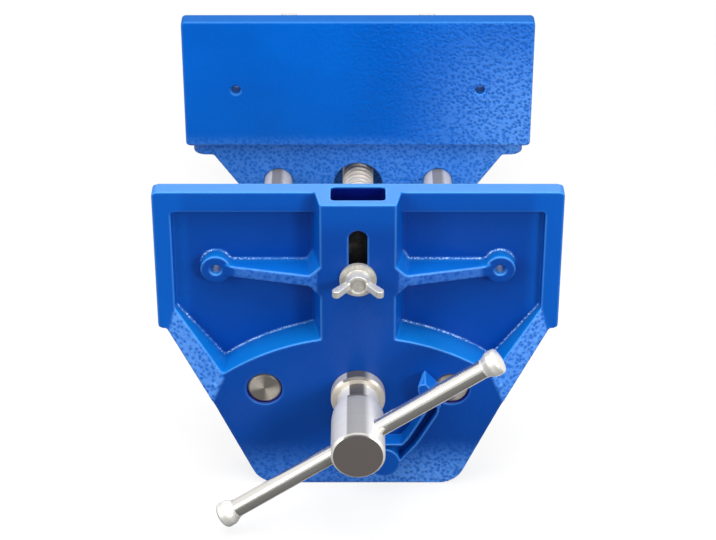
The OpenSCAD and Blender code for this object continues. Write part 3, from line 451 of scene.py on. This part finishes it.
# Shares of the marks, and places of the painted crest streak, the head's face, the rods' ends with their painted
# sheen and the handle's painted edge highlight
turnedLook = {
    "roundShare": 0.04,               # how much the marks change round a ring
    "alongShare": 0.02,               # and along a line
    "bandWidth": 6,                   # times the grain's
    "bandSpan": (0.3, 0.7),
    "bandShare": 0.6,
    "markShare": 0.4,
    "blotchScale": 60,
    "stainSpan": (0.5, 0.75),
    "crestLeft": (-0.44, -0.38),      # by how far the surface looks sideways
    "crestRight": (0.5, 0.2),
    "crestTop": (0, 0.3),
    "crestEnd": (1, -1),              # in millimetres from the gripping face
    "neckInset": (0.8, 1),            # inside the head's outline
    "faceInset": (1.4, 1.6),
    "faceDepth": (0.6, 0.5),
    "sweepWay": (0.8, 0.6),
    "sweepCentre": 0.2,
    "sweepSpan": (0.15, 0.9),
    "endDepth": (1.4, 1.1),
    "edgeWay": (0.445, -0.456, -0.771),   # across the handle, down towards the user
    "edgeSpan": (0.86, 0.94),
    "bandRoughness": 0.06,
    "blotchRoughness": 0.08,
    "blotchSpan": (0.4, 0.8),
}


# Fine marks round a piece's own axis, or along it, which turn with the piece
def makeTurned(name):
    facts = finishes[name]
    look = turnedLook
    material, wire, shader = newMaterial(name, {"Metallic": facts["metallic"]})
    turn = Vector(facts["along"]).rotation_difference(Vector(axisZ)).to_euler()
    centre = tuple(-part * mm for part in facts["centre"])
    centred = wire.node("Mapping", None, {"Vector": wire.objectCoords(), "Location": centre})
    onAxis = wire.node("Mapping", None, {"Vector": centred, "Rotation": tuple(turn)})
    x, y, z = wire.parts(onAxis)
    radius = (x * x + y * y).root()
    if facts["lay"] == "rings":
        point = wire.node("CombineXYZ", None, {"X": radius, "Y": z, "Z": look["roundShare"] * x})
    else:
        point = wire.node("CombineXYZ", None, {"X": x, "Y": y, "Z": look["alongShare"] * z})
    marks = wire.noise(point, facts["grain"], detail=2, roughness=0.6)
    bands = wire.noise(point, facts["grain"] / look["bandWidth"], detail=3, roughness=0.6)
    blotch = wire.noise(onAxis, look["blotchScale"], detail=4, roughness=0.6)
    sideways, forward, upward = wire.facing()
    lines = look["bandShare"] * bands.between(*look["bandSpan"]) + look["markShare"] * marks
    tone = wire.mix(lines * facts["contrast"], steel[facts["base"]], steel["dull"])
    tone = wire.mix(blotch.between(*look["stainSpan"]) * facts["stain"], tone, steel["stain"])
    if "head" in facts:
        low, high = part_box(facts["head"])
        headRadius = (high.x - low.x) / 2 / mm
    # painted dark reflection streak along the top of the piece
    if "crest" in facts:
        crest = sideways.between(*look["crestLeft"]) * sideways.between(*look["crestRight"])
        crest = crest * upward.between(*look["crestTop"])
        if "crestBefore" in facts:
            crest = crest * z.within(*(facts["crestBefore"] + step for step in look["crestEnd"]))
        strength = facts["crest"]
        if "neckCrest" in facts:
            neck = radius.within(*(headRadius - inset for inset in look["neckInset"]))
            strength = strength + facts["neckCrest"] * neck
        tone = wire.mix(crest * strength, tone, steel["crest"])
    if "head" in facts:
        # the head's front face is darker inside its chamfer
        flat = radius.within(*(headRadius - inset for inset in look["faceInset"]))
        flat = flat * z.within(*(low.y / mm + depth for depth in look["faceDepth"]))
        tone = wire.mix(flat, tone, steel["face"])
    # painted wedge-shaped sheen on the rods' faced ends, which are darker elsewhere
    if "sweptEnd" in facts:
        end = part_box(facts["sweptEnd"])[0].y / mm
        paintedSheen = (look["sweepWay"][0] * x + look["sweepWay"][1] * y) / (radius + look["sweepCentre"] * mm)
        paintedSheen = (paintedSheen * paintedSheen).between(*look["sweepSpan"]) * blotch
        flat = z.within(*(end + depth for depth in look["endDepth"]))
        tone = wire.mix(flat * (1 - paintedSheen), tone, steel["worn"])
    # painted white highlight line along the handle's lower edge
    if "lowerEdgeHighlight" in facts:
        ways = zip(look["edgeWay"], (sideways, forward, upward))
        first, second, third = (share * way for share, way in ways)
        edge = (first + second + third).between(*look["edgeSpan"])
        wire.feed(shader["Metallic"], facts["metallic"] + (facts["lowerEdgeHighlight"] - facts["metallic"]) * edge)
        tone = wire.mix(edge, tone, steel["bright"])
    wire.feed(shader["Base Color"], tone)
    wire.feed(shader["Roughness"], facts["roughness"] + look["bandRoughness"] * bands
              + look["blotchRoughness"] * blotch.between(*look["blotchSpan"]))
    wire.feed(shader["Normal"], wire.bump(marks + bands, facts["depth"]))
    return material


turned = {name: makeTurned(name) for name in finishes}

metals = {
    "plated_steel": {"colour": "zinc", "roughness": 0.3, "grain": 500, "depth": 0.05, "metallic": 0.6},
    "cast_zinc": {"colour": "zinc", "roughness": 0.3, "grain": 700, "depth": 0.06, "metallic": 0.55},
    "oiled_dark_steel": {"colour": "dark", "roughness": 0.34, "grain": 400, "depth": 0.06, "metallic": 1.0},
    "blackened_steel": {"colour": "black", "roughness": 0.45, "grain": 400, "depth": 0.06, "metallic": 0.5},
    "bare_cast_iron": {"colour": "iron", "roughness": 0.5, "grain": 250, "depth": 0.2, "metallic": 1.0},
}
grainedLook = {
    "lighter": 1.5,
    "lift": 0.01,
    "grainSpan": (0.4, 0.75),
    "grainShare": 0.5,
    "stainScale": 60,
    "stainSpan": (0.55, 0.8),
    "stainShare": 0.3,
    "stainRoughness": 0.12,
}


# Cast, plated or oiled metal with a fine all-round grain
def makeGrained(name):
    facts = metals[name]
    look = grainedLook
    material, wire, shader = newMaterial(name, {"Metallic": facts["metallic"]})
    coords = wire.objectCoords()
    broad = wire.noise(coords, look["stainScale"], detail=4, roughness=0.6)
    fine = wire.noise(coords, facts["grain"], detail=3, roughness=0.6)
    colour = steel[facts["colour"]]
    lighter = tuple(min(1, look["lighter"] * part + look["lift"]) for part in colour)
    tone = wire.mix(fine.between(*look["grainSpan"]) * look["grainShare"], colour, lighter)
    tone = wire.mix(broad.between(*look["stainSpan"]) * look["stainShare"], tone, steel["stain"])
    wire.feed(shader["Base Color"], tone)
    wire.feed(shader["Roughness"], facts["roughness"] + look["stainRoughness"] * broad)
    wire.feed(shader["Normal"], wire.bump(fine, facts["depth"]))
    return material


grained = {name: makeGrained(name) for name in metals}
print("materials made")


# Mesh helpers

def link(name, data):
    thing = bpy.data.objects.new(name, data)
    bpy.context.scene.collection.objects.link(thing)
    return thing


def keepMesh(name, mesh, material, body, replaced, angle=sharpAngle):
    piece = link(name, mesh)
    mesh.materials.clear()
    mesh.materials.append(material)
    mesh.shade_smooth()
    mesh.set_sharp_from_angle(angle=math.radians(angle))
    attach(piece, body)
    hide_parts(replaced)
    return piece


def keep(name, bm, material, body, replaced, angle=sharpAngle):
    mesh = bpy.data.meshes.new(name)
    bm.to_mesh(mesh)
    bm.free()
    return keepMesh(name, mesh, material, body, replaced, angle)


# Turns a half section, given as (radius, distance) points, about the Y axis
def lathe(bm, points, steps):
    verts = [bm.verts.new((0, along * mm, radius * mm)) for radius, along in points]
    edges = [bm.edges.new(pair) for pair in zip(verts, verts[1:])]
    bmesh.ops.spin(bm, geom=verts + edges, cent=(0, 0, 0), axis=axisY, dvec=(0, 0, 0),
                   angle=2 * math.pi, steps=steps, use_merge=True, use_duplicate=False)
    bmesh.ops.remove_doubles(bm, verts=bm.verts, dist=weldReach)
    bmesh.ops.recalc_face_normals(bm, faces=bm.faces)


def move(bm, x, y, z):
    bmesh.ops.translate(bm, vec=Vector((x, y, z)) * mm, verts=bm.verts)


# Castings: the CAD solid with the soft edges and small fillets that a sand mould leaves

castings = {
    "rear_jaw": {"node": "rear_casting", "body": "vise_body", "slot": "casting",
                 "material": coats["enamel_rear"], "voxel": 0.95, "rounds": 4},
    "front_jaw_casting": {"node": "front_casting", "body": "front_jaw", "slot": "casting",
                          "material": coats["enamel_front"], "voxel": 0.8, "rounds": 5, "leans": True},
    "quick_release_lever": {"node": "release_lever", "body": "lever", "slot": "casting",
                            "material": coats["enamel_lever"], "voxel": 0.42, "rounds": 3},
    "wing_nut_cast": {"node": "wing_nut", "body": "wing_nut_body", "slot": "bright_steel",
                      "material": grained["cast_zinc"], "voxel": 0.3, "rounds": 5},
}
castLimits = {
    "mostTriangles": 185000,
    "quickScale": 1.6,
    "softness": 0.5,
    "spacing": 0.6,        # of the points along a sharp edge
    "alongY": 0.5,         # a corner past this share along Y gets no painted shade and no highlight beads
    "agreement": 0.3,      # least cosine between a vertex's way and its edge's
    "ridgeReach": 1.3,
    "cornerReach": 10,
    "ledge": 1.8,
    "keptReach": 6,        # mesh stays fine within this distance of an edge
    "shadeAngle": 70,
}
blockLean = {
    "wall": 24.5,          # half the block's width
    "tolerance": 0.1,
    "reach": 12,           # the pull fades out over this distance from the wall
    "front": -377,
    "back": -350,
    "above": 2,
    "share": 0.19,         # outwards for each millimetre of depth
}


def treeOf(points):
    tree = KDTree(len(points))
    for index, (point, facing) in enumerate(points):
        tree.insert(point, index)
    tree.balance()
    return tree


# Leaves out the points beside an edge of the other kind, as at a small ledge
def apart(points, others):
    if not others:
        return points
    tree = treeOf(others)
    return [(point, facing) for point, facing in points if tree.find(point)[2] > castLimits["ledge"] * mm]


# Points along the sharp edges, each with the way it faces: ridges, where the enamel wears and a highlight is
# painted, and corners, where shade and highlight beads are painted
def sharpPoints(bm):
    ridges = []
    corners = []
    for edge in bm.edges:
        fold = edge.calc_face_angle_signed(0) if edge.is_manifold else 0
        if abs(fold) < math.radians(sharpAngle):
            continue
        facing = (edge.link_faces[0].normal + edge.link_faces[1].normal).normalized()
        first, last = edge.verts[0].co, edge.verts[1].co
        if fold < 0 and abs((last - first).normalized().y) > castLimits["alongY"]:
            continue
        steps = max(1, math.ceil((last - first).length / (castLimits["spacing"] * mm)))
        side = ridges if fold > 0 else corners
        side.extend((first.lerp(last, step / steps), facing) for step in range(steps + 1))
    return apart(ridges, corners), apart(corners, ridges)


# For each vertex 1 on the nearest point that faces its way, falling to 0 at the reach
def nearness(mesh, points, reach):
    if not points:
        return [0.0] * len(mesh.vertices)
    tree = treeOf(points)
    values = []
    for vertex in mesh.vertices:
        point, index, distance = tree.find(vertex.co)
        agrees = vertex.normal.dot(points[index][1]) > castLimits["agreement"]
        values.append(max(0.0, 1 - distance / (reach * mm)) if agrees else 0.0)
    return values


# The mesh that the modifiers make, in place of the object that carries them
def evaluated(rough):
    bpy.context.view_layer.update()
    depsgraph = bpy.context.evaluated_depsgraph_get()
    mesh = bpy.data.meshes.new_from_object(rough.evaluated_get(depsgraph))
    bpy.data.objects.remove(rough)
    return mesh


# Leans the side walls of the front jaw's block outwards, as a pattern needs to leave the sand
def leanWalls(bm):
    lean = blockLean
    for vert in bm.verts:
        out = abs(vert.co.x) / mm - lean["wall"]
        along = vert.co.y / mm
        if -lean["tolerance"] < out < lean["reach"] and along < lean["back"] and vert.co.z / mm > lean["above"]:
            fade = 1 - max(0, out) / lean["reach"]
            vert.co.x += math.copysign(lean["share"] * (along - lean["front"]) * fade * mm, vert.co.x)
    bm.normal_update()


def castPiece(name):
    facts = castings[name]
    mesh = nodes[facts["node"]].data.copy()
    bm = bmesh.new()
    bm.from_mesh(mesh)
    bmesh.ops.remove_doubles(bm, verts=bm.verts, dist=weldReach)
    if "leans" in facts:
        leanWalls(bm)
    ridges, corners = sharpPoints(bm)
    bm.to_mesh(mesh)
    bm.free()
    rough = link(name + "_rough", mesh)
    remesh = rough.modifiers.new("cast", "REMESH")
    remesh.mode = "VOXEL"
    remesh.voxel_size = facts["voxel"] * mm * 1
    remesh.adaptivity = 0
    smooth = rough.modifiers.new("soft", "SMOOTH")
    smooth.factor = castLimits["softness"]
    smooth.iterations = facts["rounds"]
    soft = evaluated(rough)
    triangles = 2 * len(soft.polygons)
    if triangles > castLimits["mostTriangles"]:
        near = nearness(soft, ridges + corners, castLimits["keptReach"])
        dense = link(name + "_dense", soft)
        group = dense.vertex_groups.new(name="plain")
        for index, share in enumerate(near):
            group.add([index], 1 - share, "REPLACE")
        thin = dense.modifiers.new("thin", "DECIMATE")
        thin.ratio = castLimits["mostTriangles"] / triangles
        thin.vertex_group = "plain"
        soft = evaluated(dense)
    soft.name = name
    for mark, points in (("ridge", ridges), ("corner", corners)):
        values = soft.attributes.new(mark, "FLOAT", "POINT")
        values.data.foreach_set("value", nearness(soft, points, castLimits[mark + "Reach"]))
    keepMesh(name, soft, facts["material"], facts["body"], facts["node"], castLimits["shadeAngle"])
    print("cast:", name, len(soft.polygons), "faces from", triangles, "triangles")


for name in castings:
    castPiece(name)


# Threads of the main screw and the stud. The shares are of the pitch, apart from the core's, which is of the
# radius; lengths are in millimetres.

screwShape = {
    "radius": 12,
    "coreShare": 0.73,
    "pitch": 6.35,
    "rootShare": 0.3,
    "crestShare": 0.3,
    "softShare": 0.12,     # rounding of the thread's edges
    "steps": 36,           # to one turn of the thread
    "turnedSteps": 96,     # round the plain ends
    "landRadius": 12.1,
    "front": -69,          # distances from the front gripping face
    "landEnd": 81.4,
    "threadStart": 71.05,
    "threadEnd": 521.9,
    "rearLand": 511.55,
    "rearLandEnd": 523.55,
    "runOut": 3,           # where the land is still full
    "shoulder": 1.6,
    "chamfer": 1,
    "journalRadius": 7.9,
    "journalEnd": 564.8,
    "journalChamfer": 0.8,
}
studShape = {
    "coreShare": 0.84,
    "pitch": 1.5,
    "rootShare": 0.12,
    "crestShare": 0.12,
    "softShare": 0.12,
    "steps": 24,
    "threadLength": 20,
    "chamfer": 1,
    "turnedSteps": 48,
    "shadeAngle": 40,
}


def allOf(bm):
    return bm.verts[:] + bm.edges[:] + bm.faces[:]


# Winds one turn of the thread about the Y axis in an empty mesh, repeats it, and cuts both ends flat
def threadInto(bm, shape, radius, start, finish):
    pitch = shape["pitch"]
    core = radius * shape["coreShare"]
    crest = shape["crestShare"] * pitch
    soft = shape["softShare"] * pitch
    foot = shape["rootShare"] * pitch / 2
    top = pitch / 2 - crest / 2
    section = [(core, -foot), (core, foot - soft / 2), (core + soft / 3, foot + soft / 3),
               (radius - soft / 3, top - soft / 3), (radius, top + soft / 2), (radius, top + crest - soft / 2),
               (radius - soft / 3, top + crest + soft / 3), (core + soft / 3, pitch - foot - soft / 3),
               (core, pitch - foot)]
    verts = [bm.verts.new((0, (start - pitch + along) * mm, r * mm)) for r, along in section]
    edges = [bm.edges.new(pair) for pair in zip(verts, verts[1:])]
    bmesh.ops.spin(bm, geom=verts + edges, cent=(0, 0, 0), axis=axisY, dvec=(0, pitch / shape["steps"] * mm, 0),
                   angle=2 * math.pi, steps=shape["steps"], use_merge=False, use_duplicate=False)
    oneTurn = allOf(bm)
    for turn in range(1, math.ceil((finish - start) / pitch) + 2):
        copy = bmesh.ops.duplicate(bm, geom=oneTurn)["geom"]
        copied = [part for part in copy if isinstance(part, bmesh.types.BMVert)]
        bmesh.ops.translate(bm, vec=(0, turn * pitch * mm, 0), verts=copied)
    bmesh.ops.remove_doubles(bm, verts=bm.verts, dist=threadWeldReach)
    for along, side in ((start, -1), (finish, 1)):
        cut = bmesh.ops.bisect_plane(bm, geom=allOf(bm), plane_co=(0, along * mm, 0), plane_no=(0, side, 0),
                                     clear_outer=True, dist=cutReach)
        rim = [part for part in cut["geom_cut"] if isinstance(part, bmesh.types.BMEdge)]
        bmesh.ops.edgeloop_fill(bm, edges=rim)
    bmesh.ops.recalc_face_normals(bm, faces=bm.faces)


def makeMainScrew():
    shape = screwShape
    core = shape["radius"] * shape["coreShare"]
    land = shape["landRadius"]
    landEnd = shape["landEnd"]
    rearEnd = shape["rearLandEnd"]
    journal = shape["journalRadius"]
    journalEnd = shape["journalEnd"]
    bm = bmesh.new()
    threadInto(bm, shape, shape["radius"], shape["threadStart"], shape["threadEnd"])
    lathe(bm, [(0, shape["front"]), (land, shape["front"]), (land, landEnd - shape["runOut"]),
               (land - shape["chamfer"], landEnd - shape["shoulder"]), (core, landEnd), (0, landEnd)],
          shape["turnedSteps"])
    lathe(bm, [(0, shape["rearLand"]), (core, shape["rearLand"]), (land, shape["rearLand"] + shape["runOut"]),
               (land, rearEnd - shape["chamfer"]), (land - shape["chamfer"], rearEnd), (journal, rearEnd),
               (journal, journalEnd - shape["journalChamfer"]), (journal - shape["journalChamfer"], journalEnd),
               (0, journalEnd)], shape["turnedSteps"])
    move(bm, 0, place["gripY"], place["screwZ"])
    keep("main_screw_turned", bm, turned["turned_screw"], "screw", "main_screw")


def makeStud():
    shape = studShape
    low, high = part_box("dog_stud")
    radius = (high.x - low.x) / 2 / mm
    length = (high.y - low.y) / mm
    core = radius * shape["coreShare"]
    chamfer = shape["chamfer"]
    threaded = shape["threadLength"]
    bm = bmesh.new()
    threadInto(bm, shape, radius, chamfer / 2, threaded)
    lathe(bm, [(0, 0), (core - chamfer / 2, 0), (core, chamfer), (core, threaded - chamfer), (radius, threaded),
               (radius, length), (0, length)], shape["turnedSteps"])
    move(bm, 0, low.y / mm, place["studZ"])
    keep("dog_stud_threaded", bm, grained["plated_steel"], "dog_body", "dog_stud",
         shape["shadeAngle"])


makeMainScrew()
makeStud()
print("threads made")


# Springs

springs = {
    "jaw": {"radius": 15, "wire": 3, "curls": 5, "height": 34, "gap": 0.3},
    "nut": {"radius": 3.4, "wire": 1.4, "curls": 7, "y": 8, "apart": 14, "squeeze": 5.71},
    "steps": 32,           # to one curl
    "wireSides": 12,
    "shadeAngle": 60,
}


# Winds a spring upwards from the origin and returns its vertices
def windSpring(bm, spring, height):
    old = set(bm.verts)
    thick = spring["wire"] * mm
    made = bmesh.ops.create_circle(bm, cap_ends=False, segments=springs["wireSides"], radius=thick / 2)["verts"]
    bmesh.ops.transform(bm, matrix=Matrix.Rotation(math.pi / 2, 4, "X"), verts=made)
    bmesh.ops.translate(bm, vec=(spring["radius"] * mm, 0, thick / 2), verts=made)
    steps = springs["steps"]
    rise = (height - spring["wire"]) / spring["curls"]
    edges = [edge for edge in bm.edges if edge.verts[0] not in old]
    bmesh.ops.spin(bm, geom=list(made) + edges, cent=(0, 0, 0), axis=axisZ, dvec=(0, 0, rise / steps * mm),
                   angle=2 * math.pi * spring["curls"], steps=steps * spring["curls"], use_merge=False,
                   use_duplicate=False)
    bmesh.ops.holes_fill(bm, edges=[edge for edge in bm.edges if edge.is_boundary], sides=0)
    bmesh.ops.recalc_face_normals(bm, faces=bm.faces)
    return [vert for vert in bm.verts if vert not in old]


def makeJawSpring():
    spring = springs["jaw"]
    bm = bmesh.new()
    windSpring(bm, spring, spring["height"])
    bmesh.ops.transform(bm, matrix=Matrix.Rotation(-math.pi / 2, 4, "X"), verts=bm.verts)
    move(bm, 0, place["gripY"] + spring["gap"], place["screwZ"])
    keep("jaw_spring", bm, grained["oiled_dark_steel"], "screw", "screw_spring",
         springs["shadeAngle"])


def makeNutSprings():
    spring = springs["nut"]
    low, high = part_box("nut_springs")
    height = high.z - low.z
    bm = bmesh.new()
    for side in (-1, 1):
        made = windSpring(bm, spring, height / mm)
        bmesh.ops.translate(bm, vec=(0, (spring["y"] + side * spring["apart"]) * mm, low.z), verts=made)
    piece = keep("nut_springs_wound", bm, grained["oiled_dark_steel"], "vise_body", "nut_springs",
                 springs["shadeAngle"])
    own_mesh(piece)


makeJawSpring()
makeNutSprings()
print("springs made")


# Finishes of the CAD pieces that stay

cadFinish = {
    "nut_cover": grained["oiled_dark_steel"],
    "cover_screws": grained["plated_steel"],
    "half_nut": grained["bare_cast_iron"],
    "trip_cam": grained["bare_cast_iron"],
    "guide_rod_left": turned["ground_rod_left"],
    "guide_rod_right": turned["ground_rod_right"],
    "rod_pins": grained["oiled_dark_steel"],
    "end_plate": grained["oiled_dark_steel"],
    "rod_washers": grained["plated_steel"],
    "rod_nuts": grained["plated_steel"],
    "screw_head": turned["turned_head"],
    "thrust_collar": turned["turned_screw"],
    "collar_pin": grained["oiled_dark_steel"],
    "spring_washer": turned["turned_screw"],
    "spring_pin": grained["oiled_dark_steel"],
    "screw_end_washer": turned["turned_screw"],
    "screw_end_pin": grained["oiled_dark_steel"],
    "handle_bar": turned["drawn_handle"],
    "knob_left": turned["turned_knobs"],
    "knob_right": turned["turned_knobs"],
    "lever_pin": grained["oiled_dark_steel"],
    "trip_rod": turned["ground_trip_rod"],
    "trip_rod_collar": turned["ground_trip_rod"],
    "trip_rod_clip": grained["oiled_dark_steel"],
    "dog": grained["blackened_steel"],
    "clamp_washer": grained["plated_steel"],
}


def setFinishes():
    for nodeName, material in cadFinish.items():
        slots = nodes[nodeName].data.materials
        if len(slots) == 0:
            slots.append(material)
        for index in range(len(slots)):
            slots[index] = material


setFinishes()
print("CAD finishes set")


# Floor, light and camera. Lengths here are in metres.

stage = {
    "size": 6,
    "white": 0.9,             # grey of the floor that the camera sees
    "grey": 0.18,             # and of the floor that lights the object's underside
    "roughness": 0.9,
    "specular": 0.1,
    "floorGap": 0.0004,
    "floorGlow": 0.8,         # share of plain white that the camera sees there
    "dark": 0.05,             # grey of the floor that polished metal sees, a painted dark reflection
    "glossGlow": 0.05,        # share of plain white that it sees in front of the vise
    "glossBehind": 0.85,      # and behind the jaw's front
    "glossStart": -0.44,
    "glossFull": -0.32,
    "world": 0.42,
    "glossLow": 0.7,
    "glossHigh": 1.0,
    "glossRise": 0.7,         # how far up the world is at its brightest
}
lamps = {
    "overhead": {"place": (0, -0.6, 1.35), "aim": (0, -0.4, 0), "size": (1.4, 1.1), "power": 20},
    "back": {"place": (0, 1.2, 1.0), "aim": (0, -0.3, 0.1), "size": (1.6, 0.6), "power": 7},
    "left": {"place": (-1.4, -1.5, 0.8), "aim": (0, -0.3, 0), "size": (0.5, 1.0), "power": 13},
    "right": {"place": (1.5, -1.2, 0.8), "aim": (0, -0.1, 0), "size": (0.5, 0.9), "power": 6},
    "low": {"place": (0.75, -1.45, 0.46), "aim": (0.05, 0, 0.05), "size": (0.3, 0.4), "power": 8},
}
cameraFacts = {
    "place": (0, -1.5584, 0.7552),
    "pitch": 30.6,            # degrees below level
    "lens": 107.35,
    "sensor": 36,
}


def greyOf(value):
    return (value,) * 3


def makeFloor():
    bm = bmesh.new()
    bmesh.ops.create_grid(bm, x_segments=1, y_segments=1, size=stage["size"])
    bmesh.ops.translate(bm, vec=(0, 0, cadBox[0][2] - stage["floorGap"]), verts=bm.verts)
    mesh = bpy.data.meshes.new("floor")
    bm.to_mesh(mesh)
    bm.free()
    material, wire, shader = newMaterial("pale_floor", {"Roughness": stage["roughness"],
                                                        "Specular IOR Level": stage["specular"]})
    seen = wire.node("LightPath", output="Is Camera Ray")
    glossy = seen.output("Is Glossy Ray")
    seen = seen.most(seen.output("Is Transmission Ray"))
    # painted dark reflection: polished metal sees a darker floor in front of the vise
    tone = wire.mix(glossy, greyOf(stage["grey"]), greyOf(stage["dark"]))
    wire.feed(shader["Base Color"], wire.mix(seen, tone, greyOf(stage["white"])))
    behind = wire.parts(wire.objectCoords())[1].between(stage["glossStart"], stage["glossFull"])
    glow = stage["glossGlow"] + (stage["glossBehind"] - stage["glossGlow"]) * behind
    plain = Wire(wire.tree, wire.tree.nodes["Principled BSDF"].outputs[0])
    white = wire.node("Emission", None, {"Color": (1, 1, 1), "Strength": 1.0})
    wire.feed(wire.tree.nodes["Material Output"].inputs["Surface"],
              wire.node("MixShader", None, {0: seen * stage["floorGlow"] + glossy * glow, 1: plain, 2: white}))
    mesh.materials.append(material)
    link("floor", mesh)


def makeWorld():
    world = bpy.data.worlds.new("studio")
    bpy.context.scene.world = world
    world.use_nodes = True
    wire = Wire(world.node_tree)
    seen = wire.node("LightPath", output="Is Camera Ray")
    glossy = seen.output("Is Glossy Ray")
    seen = seen.most(seen.output("Is Transmission Ray"))
    up = wire.parts(wire.node("TexCoord", output="Generated"))[2].between(0, stage["glossRise"])
    gloss = stage["glossLow"] - stage["world"] + (stage["glossHigh"] - stage["glossLow"]) * up
    background = wire.tree.nodes["Background"].inputs
    background["Color"].default_value = (1, 1, 1, 1)
    wire.feed(background["Strength"], stage["world"] + (1 - stage["world"]) * seen + glossy * gloss)


def makeLamps():
    for name, lamp in lamps.items():
        light = bpy.data.lights.new(name, "AREA")
        light.shape = "RECTANGLE"
        light.size, light.size_y = lamp["size"]
        light.energy = lamp["power"]
        holder = link(name, light)
        holder.location = lamp["place"]
        way = Vector(lamp["aim"]) - holder.location
        holder.rotation_euler = way.to_track_quat("-Z", "Y").to_euler()


def makeCamera():
    data = bpy.data.cameras.new("camera")
    data.sensor_width = cameraFacts["sensor"]
    data.lens = cameraFacts["lens"]
    camera = link("camera", data)
    camera.location = cameraFacts["place"]
    camera.rotation_euler = (math.radians(90 - cameraFacts["pitch"]), 0, 0)
    bpy.context.scene.camera = camera


makeFloor()
makeWorld()
makeLamps()
makeCamera()
bpy.context.scene.view_settings.view_transform = "Standard"
print("stage, lamps and camera set")
